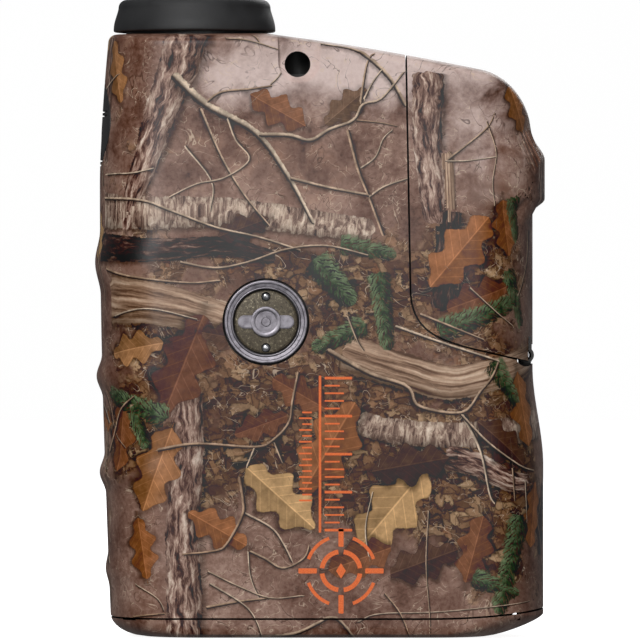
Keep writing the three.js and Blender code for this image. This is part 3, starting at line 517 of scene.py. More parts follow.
# Leaves: centre, direction of the tip in degrees, half length, colour share, layer.
LEAVES = [
    (-22, 44.5, 248, 8.6, 0.10, 0), (-9.5, 34.6, 200, 4.6, 0.12, 0), (1.5, 31, 60, 8.4, 0.30, 0),
    (22.6, 62.6, 50, 7.4, 0.34, 0), (11.8, 21.2, 230, 8.6, 0.56, 0), (-6.4, 22.8, 318, 7.4, 0.60, 1),
    (-16.6, 17.8, 330, 5.4, 0.32, 0), (-26.4, 27.4, 250, 7.2, 0.40, 0), (34.6, 37.2, 280, 6.2, 0.36, 0),
    (-6.8, 85.6, 330, 5.2, 0.22, 0), (4.2, 86.2, 40, 4.4, 0.80, 1), (25.8, 55.2, 200, 5.6, 0.14, 1),
    (16.6, 12.4, 20, 6.0, 0.84, 1), (-3.2, 39.6, 150, 5.2, 0.16, 1), (-14.6, 48.8, 170, 4.6, 0.82, 1),
    (6.6, 13, 200, 5.6, 0.18, 1), (29.8, 31.6, 320, 5.6, 0.86, 1), (-33.5, 33, 262, 6.0, 0.2, 1),
    (14.6, 28.2, 10, 6.4, 0.9, 1), (-30.5, 47, 190, 5.2, 0.46, 1), (30.5, 66.5, 280, 4.6, 0.26, 1),
    (2.6, 57.6, 130, 4.6, 0.88, 0), (-12.4, 66.6, 20, 4.4, 0.9, 1), (25, 14.5, 75, 5.6, 0.18, 0),
    (-29, 14.6, 280, 5.0, 0.28, 1), (33.5, 86, 300, 4.6, 0.38, 0), (-35.5, 92, 290, 5.4, 0.44, 0),
    (37, 20, 260, 5.4, 0.34, 1),
]

# Needle sprigs: base, tip, half width.
SPRIGS = [
    ((-1, 61.5), (5.5, 54), 3.2), ((9.5, 59.5), (11, 46.5), 2.4), ((-24.5, 35.6), (-37.5, 40), 2.6),
    ((19, 49.6), (34.5, 55.4), 2.6), ((27.8, 45), (33.4, 37.6), 2.5), ((33.2, 20), (28.8, 3.8), 2.8),
    ((31.5, 72), (33.4, 64), 1.8), ((7.5, 51), (-1.5, 46.6), 2.4), ((3, 64), (12.5, 62), 2.2),
    ((-31, 38), (-28, 30.5), 2.0), ((24.5, 10), (33, 7), 2.2), ((31, 60), (35, 50), 2.0),
]

# Soft patches of the ground: centre, half sizes, and how much lighter, darker, warmer and busier.
PATCHES = [
    (0, 34, 40, 26, 0, 0.03, 0, 0.36), (-20, 62, 20, 9, 0, 0.15, 0, 0.3), (24, 64, 12, 8, 0, 0.1, 0.2, 0.4),
    (-26, 84, 14, 12, 0.05, 0.04, 0, 0.2), (0, 100, 50, 3, 0, 0.1, 0, 0.1),
    (-3, 93, 17, 7, 0.72, 0, 0, -0.3), (9, 92, 9, 6, 0.6, 0, 0, -0.3), (-13, 90, 8, 5, 0.4, 0, 0, -0.5),
    (24, 92, 9, 3.5, 0.35, 0, 0, -0.5), (-33, 92, 5, 6, 0, 0.1, 0.2, 0),
    (-8, 78, 14, 8, -0.05, 0.15, 0.25, -0.4), (26, 82, 11, 12, 0.48, 0, 0, -0.9),
    (-30, 82, 5, 10, 0.1, 0, 0, 0),
    (2, 72, 9, 6, 0, 0.1, 0.1, -0.6), (29, 72, 6, 2.5, 0, 0.35, 0, -0.4),
    (-6, 59, 6, 4, 0, 0.5, 0, 0.6), (5, 55, 8, 7, 0, 0.6, -0.3, 0.8), (22, 58, 9, 8, 0, 0.2, 0.7, 0.6),
    (-9, 40, 9, 5, 0, 0.35, 0.1, 1.0), (-14, 30, 9, 4, 0, 0.8, 0, 0.6), (-19, 25, 5, 4, 0, 0.7, 0, 0.3),
    (-25, 45, 9, 8, 0, 0.1, 0.5, 0.4), (2, 29, 9, 8, 0, 0.2, 0.5, 0.7), (14, 24, 9, 7, 0.1, 0.35, 0.6, 0.7),
    (25, 22, 9, 7, 0, 0.55, 0.2, 1.0), (8, 8, 14, 6, 0.1, 0, -0.1, -0.8), (-10, 9, 12, 7, 0.08, 0, 0, -0.8),
    (-29, 12, 6, 9, 0.05, 0, 0.05, -0.7), (28, 9, 8, 5, 0, 0.2, 0.25, 0.5),
    (29, 40, 7, 8, 0.05, 0.25, 0, 1.0),
    (8, 39, 9, 5, 0.1, 0.1, 0.1, 0.8), (-32, 33, 5, 7, 0, 0.5, 0, 0.8), (33, 28, 5, 6, 0.1, 0.4, 0.1, 1.0),
]

# Seeded twigs and leaves for the rounded edges, which the layout above leaves bare.
STRAY_TWIGS = 46
STRAY_LEAVES = 14
HALF_SPAN = 52.0


def curve_through(points, steps=7):
    """A smooth curve through the points."""
    points = [np.array(p, float) for p in points]
    chain = [2 * points[0] - points[1]] + points + [2 * points[-1] - points[-2]]
    made = []
    for i in range(1, len(chain) - 2):
        a, b, c, d = chain[i - 1:i + 3]
        for k in range(steps):
            t = k / steps
            made.append(0.5 * (2 * b + (c - a) * t + (2 * a - 5 * b + 4 * c - d) * t * t
                               + (3 * b - a - 3 * c + d) * t ** 3))
    made.append(points[-1])
    return np.array(made)


def stray_layout():
    """More twigs and leaves, placed by a seeded draw outside the middle that the listed layout covers."""
    draw = random.Random(11)
    twigs, leaves = [], []
    for _ in range(STRAY_TWIGS):
        side = draw.choice((-1, 1))
        x = side * draw.uniform(37, HALF_SPAN)
        z = draw.uniform(-4, 108)
        heading = draw.uniform(0, 2 * math.pi)
        points = [(x, z)]
        for _ in range(3):
            heading += draw.uniform(-0.5, 0.5)
            x += 4.2 * math.cos(heading)
            z += 4.2 * math.sin(heading)
            points.append((x, z))
        twigs.append((points, draw.uniform(0.2, 0.5), draw.uniform(0.12, 0.2)))
    for i in range(STRAY_LEAVES):
        side = draw.choice((-1, 1))
        place = (side * draw.uniform(40, HALF_SPAN), draw.uniform(0, 104))
        leaves.append((*place, draw.uniform(0, 360), draw.uniform(4, 6.5), draw.random(), i % 2))
    return twigs, leaves


STRAY = stray_layout()


# ------------------------------------------------------------------ print coordinates on a mesh

def arc_table(reach, depth, power):
    """How far it is along a rounded edge, from where the face is flat out to each distance in."""
    angle = np.linspace(0, math.pi / 2, 200)
    out = reach * (1 - np.cos(angle) ** (2 / power))
    rise = depth * np.sin(angle) ** (2 / power)
    length = np.concatenate([[0], np.cumsum(np.hypot(np.diff(out), np.diff(rise)))])
    return out, length[-1] - length


MIDDLE_HALF_DEPTH = 16.8
LEFT_ARC = arc_table(SIDE_ROUND_LEFT, MIDDLE_HALF_DEPTH, SIDE_POWER)
RIGHT_ARC = arc_table(SIDE_ROUND_RIGHT, MIDDLE_HALF_DEPTH, SIDE_POWER)
TOP_ARC = arc_table(TOP_ROUND, HALF_DEPTH_REAR, TOP_POWER)


def developed(points):
    """Where points on the body lie on the print, as if it were peeled off flat: across and up, in mm."""
    x, y, z = points[:, 0], points[:, 1], points[:, 2]
    from_left = x - left_edge(z)
    from_right = right_edge(z) - x
    from_top = top_edge(x) - z
    across = x.copy()
    on_left = from_left < SIDE_ROUND_LEFT
    wrapped = np.interp(from_left, *LEFT_ARC)
    across[on_left] = (left_edge(z) + SIDE_ROUND_LEFT - wrapped)[on_left]
    on_right = (from_right < SIDE_ROUND_RIGHT) & ~on_left
    wrapped = np.interp(from_right, *RIGHT_ARC)
    across[on_right] = (right_edge(z) - SIDE_ROUND_RIGHT + wrapped)[on_right]
    up = z.copy()
    on_top = from_top < TOP_ROUND
    up[on_top] = (top_edge(x) - TOP_ROUND + np.interp(from_top, *TOP_ARC))[on_top]
    # The far side shows the same wood the other way up, so that it isn't a mirror image.
    far = y > 0
    across = np.where(far, -across, across)
    up = np.where(far, NECK_TOP - up, up)
    return np.stack([across, up], -1)


def stroke_place(points, curve, start_half, end_half):
    """How far points lie along a curve in mm, and across it as a share of its half width.

    Across is positive on the side that faces up and left. Beyond the ends the half width shrinks to
    almost nothing, which ends the stroke in a point.
    """
    starts, ends = curve[:-1], curve[1:]
    steps = ends - starts
    lengths = np.linalg.norm(steps, axis=1)
    before = np.concatenate([[0], np.cumsum(lengths)])[:-1]
    total = lengths.sum()
    run = curve[-1] - curve[0]
    lit_side = 1.0 if run[0] + 0.5 * run[1] > 0 else -1.0
    last = len(steps) - 1
    best = np.full(len(points), FAR_AWAY)
    along = np.zeros(len(points))
    across = np.zeros(len(points))
    for number, (start, step, length, offset) in enumerate(zip(starts, steps, lengths, before)):
        relative = points - start
        share = relative @ step / length ** 2
        held = np.clip(share, 0, 1)
        away = relative - held[:, None] * step
        distance = np.linalg.norm(away, axis=1)
        side = step[0] * relative[:, 1] - step[1] * relative[:, 0]
        past_end = (share < 0 if number == 0 else False) | (share > 1 if number == last else False)
        straight = np.abs(side) / length
        nearer = distance < best
        best[nearer] = distance[nearer]
        along[nearer] = (offset + np.where(past_end, share, held) * length)[nearer]
        across[nearer] = (np.sign(side) * np.where(past_end, straight, distance))[nearer]
    half = start_half + (end_half - start_half) * np.clip(along / total, 0, 1)
    to_end = np.minimum(along / min(start_half, 0.8), (total - along) / min(2 * end_half, 1.6))
    half = half * np.sqrt(np.clip(to_end * (2 - to_end), 0, 1) * (to_end < 1) + (to_end >= 1))
    return along, lit_side * across / np.maximum(half, 0.02)


def leaf_place(points, centre, direction, half_length):
    angle = math.radians(direction)
    tip = np.array([math.cos(angle), math.sin(angle)])
    side = np.array([-tip[1], tip[0]])
    relative = (points - np.array(centre)) / half_length
    return relative @ tip, relative @ side


def stroke(curve, start_half, end_half, code):
    """One log, twig or sprig: what places points on it, its code, and the points it passes."""
    return (lambda points: stroke_place(points, curve, start_half, end_half)), code, curve


def leaf(x, z, direction, half, code):
    """One leaf: what places points on it, its code, and two corners of the square it lies in."""
    corners = np.array([(x - half, z - half), (x + half, z + half)])
    return (lambda points: leaf_place(points, (x, z), direction, half)), code, corners


def element_layers():
    """Every element of the print, by layer."""
    stray_twigs, stray_leaves = STRAY
    layers = {layer: [] for layer in LAYER_REACH}
    for points, start, end, kind, seed in LOGS:
        layers["logs"].append(stroke(curve_through(points), start, end, kind + seed))
    for number, (points, start, end) in enumerate(TWIGS + stray_twigs):
        layer = "twigs" if number % 2 == 0 else "twigs_fine"
        code = (number * TWIG_CODE_STEP) % 1.0
        layers[layer].append(stroke(curve_through(points), start, end, code))
    for x, z, direction, half, code, level in LEAVES + stray_leaves:
        layer = "leaves_high" if level else "leaves_low"
        layers[layer].append(leaf(x, z, direction, half, code))
    for base, tip, half in SPRIGS:
        layers["needles"].append(stroke(np.array([base, tip], float), half, half * 0.6, 0.5))
    return layers


# How far an element of each layer reaches, as a share of its half width or half length.
LAYER_REACH = {
    "logs": 1.5, "leaves_low": 1.25, "leaves_high": 1.25, "twigs": 3.6, "twigs_fine": 3.6, "needles": 1.3,
}
LEAF_LAYERS = ("leaves_low", "leaves_high")
TWIG_CODE_STEP = 0.37
ELEMENTS = element_layers()
# What a layer holds where none of its elements reach, how far round an element faces are looked for in
# mm, how far the far side's noise is from the near side's in mm, and more than any distance.
OUTSIDE = 9.0
SEARCH_MARGIN = 5
FAR_SIDE_LEVEL = 31.0
FAR_AWAY = 1e9


def add_print(obj):
    """Writes where every corner of the mesh lies on each layer of the print."""
    mesh = obj.data
    count = len(mesh.vertices)
    points = np.empty(count * 3)
    mesh.vertices.foreach_get("co", points)
    points = points.reshape(-1, 3) / MM
    flat = developed(points)
    loops = len(mesh.loops)
    corner_vertex = np.empty(loops, int)
    mesh.loops.foreach_get("vertex_index", corner_vertex)
    starts = np.empty(len(mesh.polygons), int)
    sizes = np.empty(len(mesh.polygons), int)
    mesh.polygons.foreach_get("loop_start", starts)
    mesh.polygons.foreach_get("loop_total", sizes)
    corner_face = np.repeat(np.arange(len(sizes)), sizes)
    corner_flat = flat[corner_vertex]
    # A face across the middle plane takes its place from the side that most of it is on.
    centre = np.add.reduceat(corner_flat, starts, axis=0) / sizes[:, None]

    place = mesh.attributes.new("print_place", "FLOAT_VECTOR", "CORNER")
    far = (points[corner_vertex, 1] > 0).astype(float)
    place.data.foreach_set("vector", np.column_stack([corner_flat, FAR_SIDE_LEVEL * far]).ravel())

    tone = np.zeros((count, 4))
    for x, z, half_x, half_z, *amounts in PATCHES:
        weight = np.exp(-((flat[:, 0] - x) / half_x) ** 2 - ((flat[:, 1] - z) / half_z) ** 2)
        tone += weight[:, None] * np.array(amounts)
    tones = mesh.attributes.new("print_tone", "FLOAT_COLOR", "POINT")
    tones.data.foreach_set("color", tone.ravel())

    for layer, elements in ELEMENTS.items():
        values = np.full((loops, 3), OUTSIDE)
        nearest = np.full(len(sizes), FAR_AWAY)
        reach = LAYER_REACH[layer]
        for place_on, code, bounds in elements:
            low = bounds.min(0) - SEARCH_MARGIN
            high = bounds.max(0) + SEARCH_MARGIN
            near = np.nonzero(((centre > low) & (centre < high)).all(1))[0]
            if not len(near):
                continue
            along, across = place_on(centre[near])
            size = np.hypot(along, across) if layer in LEAF_LAYERS else np.abs(across)
            closer = (size < reach) & (size < nearest[near])
            taken = near[closer]
            nearest[taken] = size[closer]
            corners = np.nonzero(np.isin(corner_face, taken))[0]
            along, across = place_on(corner_flat[corners])
            values[corners] = np.column_stack([along, across, np.full(len(corners), code)])
        attribute = mesh.attributes.new(layer, "FLOAT_VECTOR", "CORNER")
        attribute.data.foreach_set("vector", values.ravel())
    return obj


# ------------------------------------------------------------------ materials

def linear(colour):
    """An 8-bit sRGB colour as linear light."""
    made = []
    for value in colour:
        v = value / 255
        made.append(v / 12.92 if v <= 0.04045 else ((v + 0.055) / 1.055) ** 2.4)
    return (*made, 1.0)


class Shade:
    """Builds the nodes of one material."""

    def __init__(self, name, metallic=0.0):
        self.material = bpy.data.materials.new(name)
        self.material.use_nodes = True
        self.tree = self.material.node_tree
        self.shader = self.tree.nodes["Principled BSDF"]
        self.shader.inputs["Metallic"].default_value = metallic

    def plug(self, value, socket):
        if isinstance(value, bpy.types.NodeSocket):
            self.tree.links.new(value, socket)
        else:
            socket.default_value = value

    def math(self, operation, a, b=0.0, c=0.0):
        node = self.tree.nodes.new("ShaderNodeMath")
        node.operation = operation
        for value, socket in zip((a, b, c), node.inputs):
            self.plug(value, socket)
        return node.outputs[0]

    def add(self, a, b):
        return self.math("ADD", a, b)

    def times(self, a, b):
        return self.math("MULTIPLY", a, b)

    def shift(self, value, factor, offset):
        """value * factor + offset"""
        return self.math("MULTIPLY_ADD", value, factor, offset)

    def step(self, value, low, high, to_low=0.0, to_high=1.0):
        """A smooth step from to_low at low to to_high at high."""
        node = self.tree.nodes.new("ShaderNodeMapRange")
        node.interpolation_type = "SMOOTHSTEP"
        for socket, setting in zip(node.inputs, (value, low, high, to_low, to_high)):
            self.plug(setting, socket)
        return node.outputs[0]

    def mix(self, factor, a, b, blend="MIX"):
        node = self.tree.nodes.new("ShaderNodeMix")
        node.data_type = "RGBA"
        node.blend_type = blend
        self.plug(factor, node.inputs[0])
        for value, socket in ((a, node.inputs[6]), (b, node.inputs[7])):
            self.plug(linear(value) if isinstance(value, tuple) and len(value) == 3 else value, socket)
        return node.outputs[2]

    def shaded(self, colour, amount):
        """A colour made darker or lighter by a factor."""
        node = self.tree.nodes.new("ShaderNodeVectorMath")
        node.operation = "SCALE"
        self.plug(colour, node.inputs[0])
        self.plug(amount, node.inputs["Scale"])
        return node.outputs[0]

    def noise(self, vector, scale, detail=4.0, roughness=0.55, distortion=0.0):
        node = self.tree.nodes.new("ShaderNodeTexNoise")
        self.plug(vector, node.inputs["Vector"])
        settings = {"Scale": scale, "Detail": detail, "Roughness": roughness, "Distortion": distortion}
        for name, value in settings.items():
            self.plug(value, node.inputs[name])
        return node.outputs["Fac"]

    def cells(self, vector, scale, feature="F1"):
        node = self.tree.nodes.new("ShaderNodeTexVoronoi")
        node.feature = feature
        self.plug(vector, node.inputs["Vector"])
        self.plug(scale, node.inputs["Scale"])
        return node.outputs

    def ramp(self, value, stops):
        node = self.tree.nodes.new("ShaderNodeValToRGB")
        band = node.color_ramp
        while len(band.elements) < len(stops):
            band.elements.new(0.5)
        for element, (place, colour) in zip(band.elements, stops):
            element.position = place
            element.color = linear(colour)
        self.plug(value, node.inputs[0])
        return node.outputs[0]

    def vector(self, x=0.0, y=0.0, z=0.0):
        node = self.tree.nodes.new("ShaderNodeCombineXYZ")
        for value, socket in zip((x, y, z), node.inputs):
            self.plug(value, socket)
        return node.outputs[0]

    def split(self, vector):
        node = self.tree.nodes.new("ShaderNodeSeparateXYZ")
        self.plug(vector, node.inputs[0])
        return node.outputs

    def attribute(self, name):
        node = self.tree.nodes.new("ShaderNodeAttribute")
        node.attribute_name = name
        return node.outputs

    def place(self):
        """Where a point is on the object, in mm."""
        node = self.tree.nodes.new("ShaderNodeTexCoord")
        scaled = self.tree.nodes.new("ShaderNodeVectorMath")
        scaled.operation = "SCALE"
        self.plug(node.outputs["Object"], scaled.inputs[0])
        scaled.inputs["Scale"].default_value = 1000.0
        return scaled.outputs[0]

    def vary(self, vector, by, amount):
        """A position pushed about by a noise value."""
        node = self.tree.nodes.new("ShaderNodeVectorMath")
        node.operation = "ADD"
        self.plug(vector, node.inputs[0])
        moved = self.shift(by, 2 * amount, -amount)
        self.plug(self.vector(moved, moved, moved), node.inputs[1])
        return node.outputs[0]

    def surface(self, colour, roughness, height=None, depth=0.05):
        """Links colour and roughness, and a bump from a height whose 1 stands for depth in mm."""
        self.plug(colour, self.shader.inputs["Base Color"])
        self.plug(roughness, self.shader.inputs["Roughness"])
        if height is not None:
            bump = self.tree.nodes.new("ShaderNodeBump")
            bump.inputs["Strength"].default_value = 1.0
            bump.inputs["Distance"].default_value = depth * MM
            self.plug(height, bump.inputs["Height"])
            self.plug(bump.outputs[0], self.shader.inputs["Normal"])
        return self.material


def ground_colour(s, place, tone):
    """The soft forest floor behind the wood, with litter where it is busy."""
    light, dark, warm = s.split(tone["Color"])
    busy = tone["Alpha"]
    broad = s.noise(place, 0.055, 2.0)
    mottle = s.noise(place, 0.22, 5.0, 0.6, 0.4)
    fine = s.noise(place, 1.3, 6.0, 0.68)
    mixed = s.add(s.times(broad, 0.45), s.add(s.times(mottle, 0.4), s.times(fine, 0.35)))
    colour = s.ramp(mixed, [(0.40, (62, 44, 37)), (0.52, (108, 81, 71)), (0.62, (136, 108, 96)),
                            (0.76, (176, 148, 134))])
    ragged = s.shift(mottle, 1.1, -0.55)
    lit = s.step(s.add(light, ragged), 0.15, 1.0)
    colour = s.mix(lit, colour, s.mix(fine, (183, 158, 150), (226, 208, 202)))
    heat = s.step(s.add(warm, ragged), 0.1, 0.9, 0.0, 0.7)
    colour = s.mix(heat, colour, s.mix(fine, (112, 68, 42), (178, 122, 78)))
    gloom = s.step(s.add(dark, s.shift(fine, 1.4, -0.7)), 0.1, 0.85, 0.0, 0.88)
    colour = s.mix(gloom, colour, s.mix(fine, (38, 28, 25), (84, 62, 52)))

    # Litter: long flakes of leaf and stalk, each its own colour, lying two ways.
    x, z, _ = s.split(place)
    level = s.vary(s.vector(s.times(x, 0.5), s.times(z, 1.25), 3.0), mottle, 1.7)
    leaning = s.vary(s.vector(s.add(s.times(x, 0.9), s.times(z, 0.7)),
                              s.add(s.times(z, 0.45), s.times(x, -0.55)), 9.0), fine, 1.1)
    choose = s.step(s.noise(place, 0.35, 3.0), 0.48, 0.52)
    pick, gaps = flakes(s, level, 0.62)
    pick_two, gaps_two = flakes(s, leaning, 0.72)
    flake = s.mix(choose, flake_colour(s, pick), flake_colour(s, pick_two))
    gap = s.add(s.times(s.shift(choose, -1.0, 1.0), gaps), s.times(choose, gaps_two))
    flake = s.shaded(flake, s.shift(fine, 1.3, 0.3))
    flake = s.shaded(flake, s.step(gap, 0.0, 0.16, 0.36, 1.0))
    cover = s.step(s.add(busy, s.shift(mottle, 2.0, -1.05)), 0.1, 0.55, 0.0, 0.85)
    colour = s.mix(cover, colour, flake)

    # Hair-fine stalks, pale ones over dark ones.
    for scale, near, tint in ((0.16, 0.0045, (54, 38, 34)), (0.23, 0.0035, (206, 184, 162))):
        thread = s.noise(place, scale, 2.0, 0.5, 1.6)
        line = s.step(s.math("ABSOLUTE", s.shift(thread, 1.0, -0.5)), near, 2.6 * near, 0.6, 0.0)
        colour = s.mix(s.times(line, s.step(mottle, 0.42, 0.56)), colour, tint)
    return colour, fine


def flakes(s, vector, scale):
    """One scatter of flakes: what picks each one's colour, and the distance to its edge."""
    pick = s.split(s.cells(vector, scale)["Color"])[0]
    return pick, s.cells(vector, scale, "DISTANCE_TO_EDGE")["Distance"]


def flake_colour(s, pick):
    return s.ramp(pick, [(0.0, (58, 43, 37)), (0.3, (92, 68, 54)), (0.5, (140, 108, 82)),
                         (0.68, (86, 60, 48)), (0.85, (176, 146, 114)), (1.0, (118, 78, 56))])


def log_colour(s, fine):
    """Bark and logs: their colour, how much of the point they cover, and the shadow they throw."""
    along, across, code = s.split(s.attribute("logs")["Vector"])
    kind = s.math("FLOOR", code)
    seed = s.times(s.math("FRACT", code), 60.0)
    edge_place = s.vector(s.times(along, 0.9), s.times(across, 1.3), seed)
    ragged = s.shift(s.noise(edge_place, 1.0, 5.0, 0.7), 0.5, -0.25)
    edge = s.add(s.math("ABSOLUTE", across), ragged)
    cover = s.step(edge, 0.93, 1.0, 1.0, 0.0)

    waver_place = s.vector(s.times(along, 0.28), across, seed)
    waver = s.shift(s.noise(waver_place, 1.0, 3.0), 1.5, -0.75)
    grain_place = s.vector(s.times(along, 0.16), s.add(s.times(across, 2.1), waver), seed)
    ridges = s.noise(grain_place, 1.5, 8.0, 0.68, 0.35)
    bark = s.ramp(ridges, [(0.34, (36, 26, 25)), (0.44, (84, 62, 56)), (0.52, (142, 114, 102)),
                           (0.60, (190, 166, 150)), (0.70, (232, 214, 198))])
    line_place = s.vector(s.times(along, 0.05), s.add(s.times(across, 3.0), s.times(waver, 0.5)), seed)
    lines = s.noise(line_place, 1.6, 7.0, 0.6)
    smooth_wood = s.ramp(lines, [(0.36, (96, 74, 62)), (0.48, (146, 118, 98)), (0.58, (178, 150, 128)),
                                 (0.72, (206, 182, 160))])
    dark_log = s.ramp(ridges, [(0.36, (32, 24, 23)), (0.54, (70, 54, 50)), (0.64, (124, 100, 90)),
                               (0.74, (190, 166, 148))])
    cross_place = s.vector(s.times(along, 1.25), s.add(s.times(across, 0.9), waver), seed)
    crossing = s.noise(cross_place, 1.0, 8.0, 0.72, 0.5)
    pale_log = s.ramp(crossing, [(0.36, (74, 58, 54)), (0.47, (134, 110, 98)), (0.56, (186, 164, 146)),
                                 (0.68, (222, 204, 186))])
    colour = s.mix(s.math("COMPARE", kind, 1.0, 0.1), bark, smooth_wood)
    colour = s.mix(s.math("COMPARE", kind, 2.0, 0.1), colour, dark_log)
    colour = s.mix(s.math("COMPARE", kind, 3.0, 0.1), colour, pale_log)
    roundness = s.shift(s.math("MULTIPLY", across, across), -0.42, 1.06)
    side_light = s.shift(across, 0.24, 1.0)
    colour = s.shaded(colour, s.times(s.times(roundness, side_light), s.shift(fine, 0.7, 0.62)))
    shadow = s.times(s.step(edge, 0.98, 1.42, 0.55, 0.0), s.step(across, 0.1, -0.4))
    return colour, cover, shadow


def leaf_colour(s, name, fine):
    """One layer of oak leaves."""
    along, across, code = s.split(s.attribute(name)["Vector"])
    seed = s.times(code, 37.0)
    side = s.math("ABSOLUTE", across)
    lobes = s.shift(s.math("SINE", s.add(s.times(along, 9.5), seed)), 0.30, 1.0)
    belly = s.math("POWER", s.math("MAXIMUM", s.shift(s.times(along, along), -1.0, 1.0), 0.0), 0.62)
    outline = s.times(s.times(belly, 0.44), lobes)
    wobble = s.shift(s.noise(s.vector(along, across, seed), 5.0, 4.0), 0.14, -0.07)
    margin = s.add(s.math("SUBTRACT", outline, side), wobble)
    cover = s.step(margin, 0.0, 0.018)
    colour = s.ramp(code, [(0.0, (94, 63, 53)), (0.12, (108, 73, 57)), (0.22, (128, 86, 62)),
                           (0.34, (148, 98, 66)), (0.46, (154, 114, 82)), (0.58, (186, 150, 106)),
                           (0.72, (160, 128, 98)), (0.82, (88, 66, 56)), (1.0, (64, 49, 43))])
    blotch = s.noise(s.vector(along, across, seed), 3.4, 6.0, 0.62)
    colour = s.shaded(colour, s.shift(blotch, 1.5, 0.22))
    colour = s.shaded(colour, s.step(across, -0.02, 0.02, 0.74, 1.08))
    midrib = s.step(side, 0.008, 0.022, 1.0, 0.0)
    branch = s.math("SINE", s.add(s.times(s.math("SUBTRACT", along, s.times(side, 0.9)), 24.0), seed))
    veins = s.times(s.step(branch, 0.93, 0.99), s.step(side, 0.0, 0.05))
    colour = s.mix(s.times(s.math("MAXIMUM", midrib, s.times(veins, 0.6)), 0.65), colour,
                   s.shaded(colour, 1.9))
    colour = s.mix(s.step(margin, 0.0, 0.045, 0.65, 0.0), colour, s.shaded(colour, 0.35))
    colour = s.shaded(colour, s.shift(fine, 0.6, 0.7))
    shadow = s.times(s.step(margin, -0.22, 0.0, 0.0, 0.6), s.step(across, 0.2, -0.2, 0.45, 1.0))
    return colour, cover, shadow


def needle_colour(s, place, fine):
    """Green needles that lean forward from a thin stem."""
    along, across, _ = s.split(s.attribute("needles")["Vector"])
    side = s.math("ABSOLUTE", across)
    sway = s.noise(place, 0.9, 3.0)
    lean = s.add(s.math("SUBTRACT", along, s.times(side, 3.1)), s.shift(sway, 2.2, -1.1))
    comb = s.math("FRACT", s.times(lean, 1.25))
    blade = s.step(s.math("ABSOLUTE", s.shift(comb, 1.0, -0.5)), 0.22, 0.34, 1.0, 0.0)
    second = s.math("FRACT", s.shift(s.add(lean, s.times(side, 1.3)), 0.85, 0.4))
    blade_two = s.step(s.math("ABSOLUTE", s.shift(second, 1.0, -0.5)), 0.12, 0.22, 1.0, 0.0)
    reach = s.step(s.add(side, s.shift(s.noise(place, 1.6, 4.0), 0.9, -0.45)), 0.62, 0.95, 1.0, 0.0)
    stem = s.step(side, 0.03, 0.07, 1.0, 0.0)
    cover = s.math("MAXIMUM", s.times(s.math("MAXIMUM", blade, s.times(blade_two, 0.85)), reach), stem)
    lit = s.step(s.add(s.times(across, 0.5), s.shift(sway, 1.6, -0.6)), -0.2, 0.9)
    colour = s.mix(lit, (40, 56, 42), (116, 132, 100))
    colour = s.shaded(colour, s.shift(fine, 1.1, 0.45))
    return colour, cover, s.times(reach, 0.5)


def twig_colour(s, name, place):
    """One layer of twigs, pale on the upper side and dark below, with a soft shadow under them."""
    _, across, code = s.split(s.attribute(name)["Vector"])
    knots = s.noise(place, 1.5, 3.0)
    width = s.shift(knots, 0.9, 0.42)
    edge = s.math("DIVIDE", across, width)
    side = s.math("ABSOLUTE", edge)
    cover = s.step(side, 0.84, 1.06, 1.0, 0.0)
    tint = s.mix(code, (222, 200, 176), (186, 154, 128))
    tint = s.mix(s.step(s.noise(place, 0.45, 3.0), 0.4, 0.62), s.shaded(tint, 0.55), tint)
    colour = s.mix(s.step(edge, -0.45, 0.45), (58, 42, 40), tint)
    colour = s.shaded(colour, s.shift(s.noise(place, 3.2, 5.0, 0.7), 0.8, 0.6))
    shadow = s.times(s.step(edge, -3.2, -0.9, 0.0, 0.5), s.step(edge, 0.9, 0.0))
    return colour, cover, shadow


def woodland_print():
    """The print: the ground, and over it each layer with the shadow that it throws."""
    s = Shade("woodland_print")
    place = s.attribute("print_place")["Vector"]
    colour, fine = ground_colour(s, place, s.attribute("print_tone"))
    layers = [log_colour(s, fine), leaf_colour(s, "leaves_low", fine),
              leaf_colour(s, "leaves_high", fine), needle_colour(s, place, fine),
              twig_colour(s, "twigs", place), twig_colour(s, "twigs_fine", place)]
    for layer, cover, shadow in layers:
        colour = s.shaded(colour, s.math("SUBTRACT", 1.0, shadow))
        colour = s.mix(cover, colour, layer)
    contrast = s.tree.nodes.new("ShaderNodeBrightContrast")
    contrast.inputs["Bright"].default_value = 0.035
    contrast.inputs["Contrast"].default_value = 0.16
    s.plug(colour, contrast.inputs["Color"])
    colour = contrast.outputs[0]
    place_mm = s.place()
    grain = s.noise(place_mm, 9.0, 3.0, 0.6)
    orange_peel = s.noise(place_mm, 1.1, 2.0)
    scuff = s.noise(place_mm, 0.09, 4.0, 0.6)
    roughness = s.add(s.step(scuff, 0.35, 0.7, 0.40, 0.50), s.shift(grain, 0.12, -0.06))
    height = s.add(s.times(grain, 0.35), s.times(orange_peel, 0.65))
    s.shader.inputs["Specular IOR Level"].default_value = 0.4
    return s.surface(colour, roughness, height, 0.035)


def moulded_plastic(name, dark, light, roughness=0.45, grain_scale=7.0, depth=0.03):
    """Fine-grained moulded plastic or rubber, with faint rubbed patches."""
    s = Shade(name)
    place = s.place()
    grain = s.noise(place, grain_scale, 4.0, 0.6)
    patches = s.noise(place, 0.12, 4.0, 0.6)
    colour = s.mix(s.step(s.add(s.times(grain, 0.4), s.times(patches, 0.6)), 0.35, 0.65), dark, light)
    rough = s.add(s.step(patches, 0.3, 0.7, roughness - 0.06, roughness + 0.08), s.shift(grain, 0.16, -0.08))
    return s.surface(colour, rough, grain, depth)


